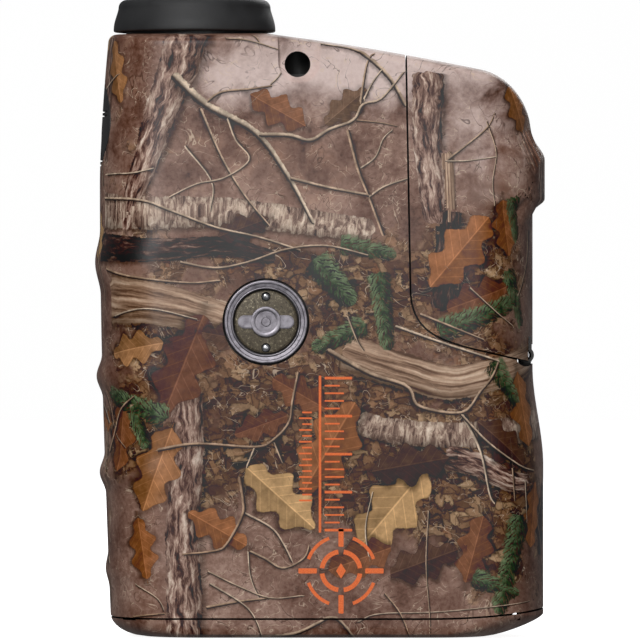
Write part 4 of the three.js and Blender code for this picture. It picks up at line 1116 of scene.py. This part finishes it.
def worked_metal(name, dark, light, roughness=0.3, axis="round", depth=0.01):
    """Metal with fine tool lines round or along it, and faint stains."""
    s = Shade(name, 1.0)
    place = s.place()
    x, y, z = s.split(place)
    if axis == "round":
        stretched = s.vector(s.times(x, 0.5), s.times(y, 6.0), s.times(z, 0.5))
    else:
        stretched = s.vector(s.times(x, 0.5), s.times(y, 0.5), s.times(z, 6.0))
    lines = s.noise(stretched, 2.4, 5.0, 0.6)
    stains = s.noise(place, 0.5, 5.0, 0.6)
    colour = s.mix(s.step(s.add(s.times(lines, 0.5), s.times(stains, 0.5)), 0.35, 0.65), dark, light)
    rough = s.add(s.step(stains, 0.3, 0.7, roughness, roughness + 0.12), s.shift(lines, 0.14, -0.07))
    return s.surface(colour, rough, lines, depth)


def coated_optic(name, tint, painted_reflection):
    """Glass with a coloured coating, a painted reflection colour where the surface turns away from the view,
    faint dust and a wipe mark.
    """
    s = Shade(name)
    place = s.place()
    dust = s.noise(place, 3.0, 6.0, 0.75)
    wipe = s.noise(place, 0.25, 3.0, 0.5, 1.5)
    # Painted reflection: towards grazing angles the colour goes over to the reflection colour.
    facing = s.tree.nodes.new("ShaderNodeLayerWeight")
    facing.inputs["Blend"].default_value = 0.35
    colour = s.mix(facing.outputs["Facing"], tint, painted_reflection)
    colour = s.mix(s.step(dust, 0.66, 0.8, 0.0, 0.25), colour, (180, 180, 178))
    rough = s.add(s.step(wipe, 0.4, 0.7, 0.02, 0.09), s.step(dust, 0.62, 0.8, 0.0, 0.2))
    s.shader.inputs["IOR"].default_value = 1.52
    s.shader.inputs["Coat Weight"].default_value = 0.6
    s.shader.inputs["Coat Roughness"].default_value = 0.02
    return s.surface(colour, rough, dust, 0.002)


def printed_board():
    s = Shade("green_board")
    place = s.place()
    x, _, z = s.split(place)
    tracks = s.cells(s.vector(s.times(x, 0.9), 0.0, s.times(z, 0.9)), 1.0, "DISTANCE_TO_EDGE")["Distance"]
    mottle = s.noise(place, 0.6, 4.0)
    colour = s.mix(s.step(tracks, 0.05, 0.08), (70, 128, 78), s.mix(mottle, (18, 62, 38), (32, 88, 54)))
    return s.surface(colour, s.step(mottle, 0.3, 0.7, 0.32, 0.5), s.step(tracks, 0.04, 0.09, 1.0, 0.0), 0.03)


def cell_sleeve():
    """Shrink sleeve on the cell: black, with a plain copper band at one end."""
    s = Shade("cell_sleeve")
    x, y, z = s.split(s.place())
    wrinkle = s.noise(s.vector(s.times(x, 0.7), y, s.times(z, 0.2)), 1.4, 4.0)
    band_z = 74.0
    colour = s.mix(s.step(z, band_z - 0.1, band_z + 0.1), s.mix(wrinkle, (24, 24, 27), (44, 44, 48)),
                   s.mix(wrinkle, (150, 88, 48), (196, 128, 78)))
    return s.surface(colour, s.step(wrinkle, 0.3, 0.7, 0.26, 0.4), wrinkle, 0.04)


def enamel():
    """The badge's plate: olive-brown with fine light flecks."""
    s = Shade("bronze_enamel", 0.35)
    place = s.place()
    flecks = s.noise(place, 2.6, 4.0, 0.8)
    cloud = s.noise(place, 0.6, 4.0)
    colour = s.mix(cloud, (66, 58, 46), (98, 88, 70))
    colour = s.mix(s.step(flecks, 0.55, 0.66, 0.0, 0.8), colour, (158, 148, 122))
    colour = s.mix(s.step(flecks, 0.44, 0.36, 0.0, 0.8), colour, (34, 30, 24))
    return s.surface(colour, s.step(flecks, 0.3, 0.7, 0.55, 0.4), flecks, 0.03)


def orange_ink():
    s = Shade("orange_ink")
    place = s.place()
    grain = s.noise(place, 5.0, 5.0, 0.65)
    worn = s.noise(place, 1.4, 5.0, 0.7)
    colour = s.mix(s.step(grain, 0.35, 0.65), (226, 92, 22), (244, 118, 42))
    colour = s.mix(s.step(worn, 0.62, 0.72, 0.0, 0.6), colour, (178, 92, 46))
    return s.surface(colour, s.step(grain, 0.3, 0.7, 0.42, 0.55), grain, 0.02)


def floor_paper():
    s = Shade("studio_floor")
    place = s.place()
    fibre = s.noise(place, 0.8, 5.0, 0.6)
    colour = s.mix(fibre, (246, 246, 246), (252, 252, 252))
    s.shader.inputs["Emission Color"].default_value = linear((253, 253, 253))
    s.shader.inputs["Emission Strength"].default_value = 0.93
    return s.surface(colour, s.step(fibre, 0.3, 0.7, 0.7, 0.8), fibre, 0.02)


PRINT = woodland_print()
BLACK = moulded_plastic("black_plastic", (20, 20, 21), (36, 36, 38), 0.42)
BARE = moulded_plastic("bare_moulding", (30, 29, 28), (44, 42, 40), 0.5)
RUBBER = moulded_plastic("black_rubber", (24, 24, 25), (42, 42, 43), 0.56, 9.0, 0.05)
SATIN = worked_metal("satin_metal", (112, 108, 114), (150, 146, 152), 0.36)
DARK_METAL = worked_metal("dark_metal", (34, 34, 37), (62, 62, 66), 0.4, "along")
STEEL = worked_metal("steel", (150, 150, 152), (198, 198, 200), 0.22)
BRASS = worked_metal("brass", (148, 112, 52), (204, 168, 92), 0.25, "along")
ENAMEL = enamel()
GLASS = coated_optic("lens_glass", (10, 14, 18), (90, 120, 150))
COATED = coated_optic("ruby_coating", (60, 8, 10), (190, 60, 40))
BOARD = printed_board()
SLEEVE = cell_sleeve()
INK = orange_ink()

SLOT_MATERIAL = {
    "camo_plastic": PRINT, "black_plastic": BLACK, "black_rubber": RUBBER, "satin_metal": SATIN,
    "dark_metal": DARK_METAL, "steel": STEEL, "brass": BRASS, "bronze_enamel": ENAMEL, "glass": GLASS,
    "coated_glass": COATED, "circuit_board": BOARD, "battery_sleeve": SLEEVE,
}


# ------------------------------------------------------------------ body shells

def printed(obj):
    """Marks all faces as printed. The mark stays on what is left of them, and on what they cut."""
    mark = obj.data.attributes.new("outside", "FLOAT", "FACE")
    mark.data.foreach_set("value", np.ones(len(obj.data.polygons)))
    return obj


OUTER = printed(new_object("outer_form", *body_form(0.0, 18, 110, 200)))
CAVITY = new_object("cavity", *body_form(WALL, 8, 12, 24))


def outer():
    return duplicate(OUTER, "piece")


def cavity(inset=WALL):
    if inset == WALL:
        return duplicate(CAVITY, "cutter")
    return new_object("cutter", *body_form(inset, 8, 12, 24))


def below_bezel_seam(shift):
    high = BEZEL_HEIGHT + BEZEL_RISE * 1.2 + shift
    low = BEZEL_HEIGHT + shift
    start, end = np.array([BEZEL_RISE_X, low]), np.array([2 * BEZEL_RISE_X + 2, high])
    control = np.array([BEZEL_RISE_X + 9, low])
    curve = []
    for i in range(13):
        t = i / 12
        curve.append(tuple((1 - t) ** 2 * start + 2 * t * (1 - t) * control + t * t * end))
    outline = [(-BIG, low)] + curve + [(BIG, high), (BIG, -BIG), (-BIG, -BIG)]
    return prism(outline, "Y", -BIG, BIG)


def door_outline(shift):
    outline = [(13.75 + shift, BIG * 1.5), (13.95 + shift, 94.7), (14.65 + shift, 56.2)]
    outline += bezier([(14.65 + shift, 56.2), (14.9 + shift, 49.6 + shift), (19.5, 48.3 + shift),
                       (25.0, 46.85 + shift)], 24)
    outline += [(34.85, 44.6 + shift), (BIG, 44.0 + shift), (BIG, BIG * 1.5)]
    return prism(outline, "Y", -BIG, BIG)


def hinge_rod(r, low, high):
    return rod("Y", HINGE_X, HINGE_Z, r, low, high)


def y_range(side, near, far):
    return (-far, -near) if side < 0 else (near, far)


def half_shell(side):
    shell = outer()
    combine(shell, cavity())
    combine(shell, box(-BIG, BIG, *y_range(side, GAP, BIG), -BIG, 2 * BIG), "INTERSECT")
    for x, z in SCREW_SPOTS:
        boss = rod("Y", x, z, BOSS_R, *y_range(side, GAP, BIG / 4), 32)
        combine(shell, combine(boss, outer(), "INTERSECT"), "UNION")
    combine(shell, below_bezel_seam(GAP))
    combine(shell, door_outline(-GAP))
    combine(shell, hinge_rod(HINGE_CORNER_R + 0.25, -BIG, BIG))
    combine(shell, prism(oval(0, PAD_Z, PAD_HALF_Y + GAP, PAD_HALF_Z + GAP, 72), "X", -BIG, PAD_CUT_X))
    combine(shell, rod("Z", SIGHT_X, 0, EYEPIECE_BORE_R, 90, 2 * BIG, 96))
    low, high = y_range(side, GAP, HINGE_CENTRE_HALF)
    knuckle = combine(hinge_rod(HINGE_KNUCKLE_R, low, high),
                      box(*HINGE_WEB, low, high, 42.6, HINGE_Z), "UNION")
    combine(shell, combine(knuckle, hinge_rod(HINGE_BORE_R, -BIG, BIG)), "UNION")
    return shell


BADGE_FACE = float(surface_y(np.array(BADGE_X), np.array(BADGE_Z)))
LANYARD_FACE = float(surface_y(np.array(LANYARD_X), np.array(LANYARD_Z)))


def lanyard_mouth():
    """The pocket round the lanyard hole: round below, open at the top."""
    outline = arc(-3.4, 93.4, 3.35, 180, 360, 24) + [(0.3, 99.5), (-6.9, 99.5)]
    return printed(prism(outline, "Y", -BIG, -LANYARD_FACE + 1.0))


def left_shell():
    shell = half_shell(-1)
    for x, z in SCREW_SPOTS:
        combine(shell, rod("Y", x, z, SCREW_HOLE_R, -10.5, 1, 24))
    backing = rod("Y", BADGE_X, BADGE_Z, BADGE_R + 1.6, -BADGE_FACE + 1.2, -BADGE_FACE + 3.2, 64)
    combine(shell, combine(backing, outer(), "INTERSECT"), "UNION")
    combine(shell, rod("Y", BADGE_X, BADGE_Z, BADGE_R + BADGE_PLAY, -BIG, -BADGE_FACE + 1.5, 96))
    lug = combine(box(-8.0, 0.4, -BIG, -4.6, 88.8, 97.0), outer(), "INTERSECT")
    combine(shell, lug, "UNION")
    combine(shell, lanyard_mouth())
    combine(shell, rod("Y", LANYARD_X, LANYARD_Z, LANYARD_R, -BIG, -8.5, 64))
    combine(shell, rod("Z", LANYARD_X, -8.6, LANYARD_R, 91.6, BIG * 1.5, 64))
    return shell


def screw_seat(x, z):
    return float(surface_y(np.array(x), np.array(z))) - SCREW_SEAT_DEPTH


def right_shell():
    shell = half_shell(1)
    for x, z in SCREW_SPOTS:
        combine(shell, rod("Y", x, z, SCREW_HOLE_R, 0, BIG, 24))
        combine(shell, rod("Y", x, z, SCREW_HEAD_R + SCREW_HEAD_PLAY, screw_seat(x, z), BIG, 48))
    return shell


def front_bezel():
    bezel = outer()
    combine(bezel, below_bezel_seam(-GAP), "INTERSECT")
    combine(bezel, box(-BIG, BIG, -BIG, BIG, 0, BIG), "INTERSECT")
    combine(bezel, box(-32.0, 32.5, -15.2, 15.2, BEZEL_HEIGHT - 0.3, BIG))
    combine(bezel, rod("Z", SIGHT_X, 0, SIGHT_APERTURE, -BIG, BIG, 96))
    combine(bezel, rod("Z", LASER_X, 0, LASER_APERTURE, -BIG, BIG, 96))
    return bezel


def battery_door():
    door = outer()
    combine(door, door_outline(GAP), "INTERSECT")
    combine(door, cavity())
    corner = box(HINGE_X, BIG, -BIG, BIG, -BIG, HINGE_Z)
    combine(corner, hinge_rod(HINGE_CORNER_R, -BIG / 2, BIG / 2))
    combine(door, corner)
    for low, high in ((-HINGE_HALF_LENGTH, -HINGE_NOTCH), (HINGE_NOTCH, HINGE_HALF_LENGTH)):
        web = box(*HINGE_WEB, low, high, HINGE_Z, HINGE_Z + 3)
        combine(door, combine(hinge_rod(HINGE_KNUCKLE_R, low, high), web, "UNION"), "UNION")
    combine(door, box(HINGE_X - 2.2, BIG, -HINGE_NOTCH, HINGE_NOTCH, 40, HINGE_Z + 1.75))
    combine(door, hinge_rod(HINGE_BORE_R, -HINGE_HALF_LENGTH - 0.4, HINGE_HALF_LENGTH + 0.4))
    return door


def dress_shell(obj, node, body):
    """Names a camouflage piece, prints its outside, and leaves its inside and cut edges bare."""
    obj.name = obj.data.name = f"{node}_skin"
    mesh = obj.data
    outside = np.zeros(len(mesh.polygons))
    mesh.attributes["outside"].data.foreach_get("value", outside)
    add_print(obj)
    smooth(obj, 30)
    finish_piece(obj, PRINT, body, [node])
    mesh.materials.append(BARE)
    mesh.polygons.foreach_set("material_index", np.where(outside > 0.5, 0, 1))
    return obj


def seam_lip():
    """The shells' inner lip behind the door's seam, which keeps light and dust out."""
    lip_outside, lip_inside, half_width = WALL + 0.5, WALL + 1.1, 1.4
    lip = cavity(lip_outside)
    combine(lip, cavity(lip_inside))
    band = door_outline(-half_width)
    combine(band, door_outline(half_width))
    combine(band, box(HINGE_X - 1.2, BIG, -BIG, BIG, -BIG, 2 * BIG))
    return combine(lip, band, "INTERSECT")


for build, body in ((left_shell, "housing"), (right_shell, "housing"), (front_bezel, "housing"),
                    (battery_door, "battery_door_body")):
    dress_shell(build(), build.__name__, body)
inner_lip = smooth(seam_lip())
inner_lip.name = inner_lip.data.name = "door_seam_lip"
finish_piece(inner_lip, BLACK, "housing", [])


# ------------------------------------------------------------------ buttons

def skin_oval(outer_inset, inner_inset, half_y, half_z, z):
    """An oval piece of the body's skin on the button edge, between two insets."""
    skin = outer() if outer_inset == 0 else cavity(outer_inset)
    combine(skin, cavity(inner_inset))
    return combine(skin, prism(oval(0, z, half_y, half_z, 72), "X", -BIG, PAD_CUT_X), "INTERSECT")


def button_pad():
    pad = skin_oval(0, PAD_THICK, PAD_HALF_Y - GAP, PAD_HALF_Z - GAP, PAD_Z)
    combine(pad, prism(oval(0, FIRE_Z, FIRE_HALF_Y, FIRE_HALF_Z, 64), "X", -BIG, 0))
    combine(pad, prism(oval(0, MODE_Z, MODE_HALF_Y, MODE_HALF_Z, 64), "X", -BIG, 0))
    # Shallow grip grooves across the pad: two below the large button, two between the buttons.
    for z in (76.9, 77.6, 84.95, 85.6):
        groove = combine(box(-BIG, 0, -7.4, 7.4, z - 0.16, z + 0.16), cavity(0.3))
        combine(pad, groove)
    return pad


def button(half_y, half_z, z, dish_r):
    """A cap that follows the pad's surface, with a flange under the pad and a dish for the fingertip."""
    inner = PAD_THICK + 0.8
    # The cap ends a little short of the flange's inner face, so that the two share no surface.
    cap = skin_oval(0, inner - BUTTON_STEP, half_y - BUTTON_GAP, half_z - BUTTON_GAP, z)
    flange = skin_oval(PAD_THICK + 0.2, inner, half_y + BUTTON_FLANGE, half_z + BUTTON_FLANGE / 2, z)
    combine(cap, flange, "UNION")
    edge = float(left_edge(np.array(z)))
    dish = turned("cutter", dish_outline(dish_r), (0, 0), 48, "Z")
    for vertex in dish.data.vertices:
        x, y, h = vertex.co
        vertex.co = (edge * MM - h, y, z * MM + x)
    return combine(cap, dish)


def dish_outline(r):
    depth = 0.28
    bowl = [(r * i / 8, -depth * (1 - (i / 8) ** 2)) for i in range(9)]
    return bowl + [(r, 3.0), (0, 3.0)]


def dress(obj, name, material, body, nodes, angle=35):
    obj.name = obj.data.name = name
    smooth(obj, angle)
    return finish_piece(obj, material, body, nodes)


dress(button_pad(), "button_pad_grip", RUBBER, "housing", ["button_pad"])
dress(button(FIRE_HALF_Y, FIRE_HALF_Z, FIRE_Z, 2.9), "fire_button_cap", RUBBER, "fire_button_body",
      ["fire_button"])
dress(button(MODE_HALF_Y, MODE_HALF_Z, MODE_Z, 0.8), "mode_button_cap", RUBBER, "mode_button_body",
      ["mode_button"])


# ------------------------------------------------------------------ eyepiece

def eyecup():
    """Soft cup with a bead at the base, a flared wall, a rolled crown and a sloping inside."""
    outline = [(12.5, 98.7)] + arc(12.95, 99.0, 0.3, -90, 0, 5)
    outline += bezier([(13.25, 99.0), (13.25, 100.4), (12.75, 101.2), (12.47, 102.45)], 12)
    outline += arc(11.1, 102.65, 1.35, 0, 165, 22)
    outline += bezier([(9.8, 103.0), (9.75, 101.8), (9.85, 100.9), (10.05, 100.35)], 8)
    return turned("cup", outline + [(10.3, 99.9), (12.5, 99.9)], (SIGHT_X, 0), 144)


def knurled_ring():
    """The focusing ring under the cup, its rim cut with fine grip notches."""
    outline = [(10.4, 92.9), (11.2, 92.9), (11.2, 98.65), (12.1, 98.65), (12.2, 98.75), (12.2, 99.6),
               (10.4, 99.6)]
    ring = turned("ring", outline, (SIGHT_X, 0), 144)
    count, circle_r, notch_r = 60, 12.38, 0.28
    notches = []
    for i in range(count):
        a = 2 * math.pi * i / count
        x, y = SIGHT_X + circle_r * math.cos(a), circle_r * math.sin(a)
        notches.append(rod("Z", x, y, notch_r, 98.5, 99.75, 10))
    return combine(ring, joined(notches))


def glass(name, node, x, outline, material, body):
    dress(turned(name, outline, (x, 0), 96), name, material, body, [node], 40)


def stepped_ring(outer_r, inner_r, low, high):
    """A retaining ring with an eased rim and a fine thread inside."""
    mid = []
    turns = 6
    for i in range(turns):
        z0 = high - 0.25 - (high - low - 0.5) * i / turns
        mid += [(inner_r, z0), (inner_r + 0.09, z0 - 0.08)]
    return [(outer_r, low), (outer_r, high - 0.1), (outer_r - 0.1, high), (inner_r + 0.2, high)] + mid + [
        (inner_r + 0.1, low)]


dress(eyecup(), "eyecup_rubber", RUBBER, "eyepiece_ring_body", ["eyecup"], 40)
dress(knurled_ring(), "focusing_ring", BLACK, "eyepiece_ring_body", ["diopter_ring"], 30)
glass("eye_lens_glass", "eye_lens", SIGHT_X, lens_outline(8.7, 94.6, 96.2, 0.9, 0.8), GLASS,
      "lens_cell_body")
glass("objective_glass", "objective_lens", SIGHT_X, lens_outline(9.8, 5.4, 8.2, 1.6, 0.5), COATED,
      "housing")
glass("laser_glass", "laser_lens", LASER_X, lens_outline(8.3, 5.4, 7.8, 1.5, 0.4), GLASS, "housing")
for piece, node, x, r, inner_r, low, high, body in [
    ("eye_retainer", "eye_lens_retainer", SIGHT_X, 8.75, 7.8, 96.5, 97.9, "lens_cell_body"),
    ("objective_retainer_ring", "objective_retainer", SIGHT_X, 9.9, 8.9, 3.7, 5.1, "housing"),
    ("laser_retainer_ring", "laser_retainer", LASER_X, 8.4, 7.6, 3.7, 5.1, "housing"),
]:
    dress(turned(piece, stepped_ring(r, inner_r, low, high), (x, 0), 96), piece, BLACK, body,
          [node], 20)


# ------------------------------------------------------------------ badge

def facing(name, outline, count=128):
    """A profile of (radius, height out of the badge's face) turned about the badge's axis."""
    flipped = [(r, -BADGE_FACE - h) for r, h in outline]
    return turned(name, flipped, (BADGE_X, BADGE_Z), count, "Y")


def badge_ring():
    """A dished ring with rolled lips, and fine index marks on its two sides."""
    outline = [(BADGE_R, BADGE_BACK), (BADGE_R, -0.12)] + arc(6.55, -0.12, 0.25, 0, 90, 6)
    outline += [(6.3, 0.1), (6.16, -0.02), (5.72, -0.06)] + arc(5.5, -0.04, 0.16, 60, 180, 6) + [(5.3, -0.3)]
    ring = facing("ring", outline + [(5.3, BADGE_BACK)])
    for centre in (0, 180):
        for i in range(-6, 7):
            a = math.radians(centre + 7.5 * i)
            reach = (5.78, 6.2) if i % 3 == 0 else (5.88, 6.12)
            mark = box(*reach, -BADGE_FACE - 0.5, -BADGE_FACE + 0.16, -0.06, 0.06)
            for vertex in mark.data.vertices:
                x, y, z = vertex.co / MM
                vertex.co = ((BADGE_X + x * math.cos(a) - z * math.sin(a)) * MM, y * MM,
                             (BADGE_Z + x * math.sin(a) + z * math.cos(a)) * MM)
            combine(ring, mark)
    return ring


def badge_disc():
    disc = facing("disc", [(0, -0.45), (4.7, -0.45), (4.95, -0.5), (5.1, -0.62), (5.1, BADGE_BACK),
                           (0, BADGE_BACK)])
    for offset in BADGE_PIN_OFFSETS:
        combine(disc, rod("Y", BADGE_X, BADGE_Z + offset, 0.75, -BIG, BIG, 32))
    return disc


def badge_emblem():
    """A plain sighting mark: a bar with round ends, and a boss with a ring groove and a dot."""
    reach, half_height = 3.5, 1.05
    bar = arc(BADGE_X + reach, BADGE_Z, half_height, -90, 90, 16)
    bar += arc(BADGE_X - reach, BADGE_Z, half_height, 90, 270, 16)
    mark = prism(bar, "Y", -BADGE_FACE + 0.02, -BADGE_FACE + 0.4)
    made = bmesh.new()
    made.from_mesh(mark.data)
    front = min(v.co.y for v in made.verts)
    rim = [e for e in made.edges if all(v.co.y < front + 1e-6 for v in e.verts)]
    bmesh.ops.bevel(made, geom=rim, offset=0.14 * MM, segments=3, affect="EDGES")
    made.to_mesh(mark.data)
    made.free()
    boss = facing("boss", [(0, -0.4), (2.5, -0.4), (2.5, -0.06), (2.4, 0.04), (2.25, 0.06), (1.9, 0.06),
                           (1.75, 0.0), (1.75, -0.14), (0.75, -0.14), (0.75, 0.0), (0.66, 0.06),
                           (0, 0.06)], 96)
    combine(mark, rod("Y", BADGE_X, BADGE_Z, 2.2, -BIG, BIG, 64))
    return combine(mark, boss, "UNION")


def badge_pin(z):
    outline = [(0, -0.34), (0.2, -0.34), (0.45, -0.4), (0.6, -0.52), (0.6, BADGE_BACK), (0, BADGE_BACK)]
    flipped = [(r, -BADGE_FACE - h) for r, h in outline]
    return turned("pin", flipped, (BADGE_X, z), 32, "Y")


dress(badge_ring(), "badge_bezel", SATIN, "housing", ["badge_ring"], 30)
dress(badge_disc(), "badge_plate", ENAMEL, "housing", ["badge_disc"], 30)
dress(badge_emblem(), "badge_mark", SATIN, "housing", ["badge_emblem"], 30)
PIN_ABOVE, PIN_BELOW = BADGE_PIN_OFFSETS
dress(badge_pin(BADGE_Z + PIN_ABOVE), "badge_pin_top", STEEL, "housing", ["badge_pin_upper"])
dress(badge_pin(BADGE_Z + PIN_BELOW), "badge_pin_low", STEEL, "housing", ["badge_pin_lower"])


# ------------------------------------------------------------------ screws

def shell_screw(x, z):
    """Countersunk head with a cross recess, and a shank with a fine thread."""
    seat = screw_seat(x, z) + 0.05
    top = seat + SCREW_HEAD_HEIGHT
    outline = [(0, top), (1.5, top), (1.78, top - 0.12), (1.9, top - 0.35), (1.9, seat), (0.95, seat)]
    length, thread_length, turns = 18, 16.4, 30
    for i in range(turns):
        level = seat - 1 - thread_length * i / turns
        outline += [(0.95, level), (0.72, level - 0.27)]
    low = seat - length
    screw = turned("screw", outline + [(0.5, low), (0, low)], (x, z), 40, "Y")
    for wide, tall in ((1.2, 0.25), (0.25, 1.2)):
        combine(screw, box(x - wide, x + wide, top - 0.7, top + 1, z - tall, z + tall))
    return screw


for number, (x, z) in enumerate(SCREW_SPOTS):
    dress(shell_screw(x, z), f"machine_screw_{number + 1}", STEEL, "housing",
          [f"shell_screw_{number + 1}"], 30)


# ------------------------------------------------------------------ orange aiming graphic

INK_Y = -HALF_DEPTH_FRONT
INK_THICK = 0.03
SCALE_LOW, SCALE_HIGH = 17.6, 42.2
TARGET_X, TARGET_Z = 3.4, 11.0


def ink(outline):
    """One flat printed shape on the badge side."""
    return prism(outline, "Y", INK_Y - INK_THICK, INK_Y - 0.002)


def ink_bar(x0, x1, z0, z1, ease=0.12):
    return ink(rounded([(x0, z0), (x1, z0), (x1, z1), (x0, z1)], ease, 3))


def ink_arc(x, z, r, width, start, end):
    outside = arc(x, z, r + width / 2, start, end, 24)
    inside = arc(x, z, r - width / 2, end, start, 24)
    return ink(outside + inside)


def aiming_graphic():
    """A range scale running up the side, over a target ring with four posts."""
    shapes = []
    # The scale: a spine, and bars that grow and shrink along it.
    shapes.append(ink_bar(-0.2, 0.2, 17.2, 42.6))
    rungs = 21
    for i in range(rungs):
        z = SCALE_LOW + (SCALE_HIGH - SCALE_LOW) * i / (rungs - 1)
        long_one = i % 5 == 0
        reach = 5.2 if long_one else 3.9 if i % 5 in (2, 3) else 3.2
        thick = 0.42 if long_one else 0.27
        shapes.append(ink_bar(0.75, reach, z - thick / 2, z + thick / 2))
    # A finer column beside it.
    for i in range(16):
        z = 22.4 + 0.95 * i
        shapes.append(ink_bar(-3.4 + 0.5 * (i % 2), -1.3, z - 0.14, z + 0.14))
    # The target: two broken rings, posts and a diamond.
    x, z = TARGET_X, TARGET_Z
    for start in (20, 110, 200, 290):
        shapes.append(ink_arc(x, z, 5.6, 0.55, start, start + 50))
    for start in (8, 98, 188, 278):
        shapes.append(ink_arc(x, z, 3.1, 0.75, start, start + 74))
    for dx, dz in ((1, 0), (-1, 0), (0, 1), (0, -1)):
        near, far, half = 3.9, 6.9, 0.42
        along = sorted((x + dx * near, x + dx * far)) if dx else (x - half, x + half)
        up = sorted((z + dz * near, z + dz * far)) if dz else (z - half, z + half)
        shapes.append(ink_bar(*along, *up, 0.2))
    shapes.append(ink([(x, z - 1.25), (x + 0.8, z), (x, z + 1.25), (x - 0.8, z)]))
    return joined(shapes)


dress(aiming_graphic(), "aiming_graphic", INK, "housing", [])


# ------------------------------------------------------------------ CAD nodes that stay

for member in frame["record"]["subparts"]:
    node = frame["nodes"].get(member["node"])
    material = SLOT_MATERIAL.get(member["material_slot"])
    if node and material:
        node.data.materials.clear()
        node.data.materials.append(material)

for leftover in (OUTER, CAVITY):
    throw_away(leftover)


# ------------------------------------------------------------------ floor, lights and camera

def plain_sheet(name, corners, material):
    obj = new_object(name, corners, [(0, 1, 2, 3)])
    obj.data.materials.append(material)
    # It is seen, but it throws no light back on the object.
    obj.visible_diffuse = False
    obj.visible_glossy = False
    return obj


def backdrop_material():
    s = Shade("backdrop")
    place = s.place()
    soft = s.noise(place, 0.002, 2.0)
    s.shader.inputs["Emission Strength"].default_value = 1.0
    s.plug(s.mix(soft, (252, 252, 252), (255, 255, 255)), s.shader.inputs["Emission Color"])
    return s.surface(s.mix(soft, (40, 40, 40), (44, 44, 44)), s.step(soft, 0.0, 1.0, 0.9, 1.0))


FLOOR_Z = -0.05
STAGE_HALF = 2500
BACKDROP_Y = 3200
BACKDROP_LOW, BACKDROP_HIGH = -200, 3000
plain_sheet("floor", [(-STAGE_HALF, -STAGE_HALF, FLOOR_Z), (STAGE_HALF, -STAGE_HALF, FLOOR_Z),
                      (STAGE_HALF, BACKDROP_Y, FLOOR_Z), (-STAGE_HALF, BACKDROP_Y, FLOOR_Z)],
            floor_paper())
plain_sheet("backdrop", [(-STAGE_HALF, BACKDROP_Y, BACKDROP_LOW), (STAGE_HALF, BACKDROP_Y, BACKDROP_LOW),
                         (STAGE_HALF, BACKDROP_Y, BACKDROP_HIGH), (-STAGE_HALF, BACKDROP_Y, BACKDROP_HIGH)],
            backdrop_material())


def soft_light(name, place, size, power):
    """A rectangular white light that faces the object."""
    data = bpy.data.lights.new(name, "AREA")
    data.shape = "RECTANGLE"
    data.size, data.size_y = size
    data.energy = power
    obj = bpy.data.objects.new(name, data)
    bpy.context.scene.collection.objects.link(obj)
    obj.location = place
    aim = np.array(LIGHT_AIM) - np.array(place)
    obj.rotation_euler = Vector(aim).to_track_quat("-Z", "Y").to_euler()


# Places in metres and powers in watts.
LIGHT_AIM = (0.0, 0.0, 0.05)
soft_light("key", (-0.32, -1.1, 0.52), (0.45, 0.45), 10.0)
soft_light("fill", (0.3, -1.2, 0.2), (0.5, 0.5), 1.6)
soft_light("back", (0.25, 1.2, 0.6), (0.8, 0.8), 5.0)
soft_light("top", (0.0, 0.0, 0.9), (0.5, 0.5), 1.6)

world = bpy.data.worlds.new("studio")
world.use_nodes = True
world.node_tree.nodes["Background"].inputs["Color"].default_value = (0.9, 0.92, 0.95, 1.0)
world.node_tree.nodes["Background"].inputs["Strength"].default_value = 0.15
bpy.context.scene.world = world
bpy.context.scene.view_settings.view_transform = "Standard"

# The camera looks along +Y, and sees a width of VIEW_WIDTH metres at the middle of the object.
SENSOR_WIDTH = 36.0
VIEW_DISTANCE = 1.5
VIEW_WIDTH = 0.10482
VIEW_HEIGHT = 0.0516
camera_data = bpy.data.cameras.new("camera")
camera_data.sensor_width = SENSOR_WIDTH
camera_data.lens = SENSOR_WIDTH * VIEW_DISTANCE / VIEW_WIDTH
camera_data.clip_end = 20.0
camera = bpy.data.objects.new("camera", camera_data)
bpy.context.scene.collection.objects.link(camera)
camera.location = (0.0, -VIEW_DISTANCE, VIEW_HEIGHT)
camera.rotation_euler = (math.pi / 2, 0.0, 0.0)
bpy.context.scene.camera = camera
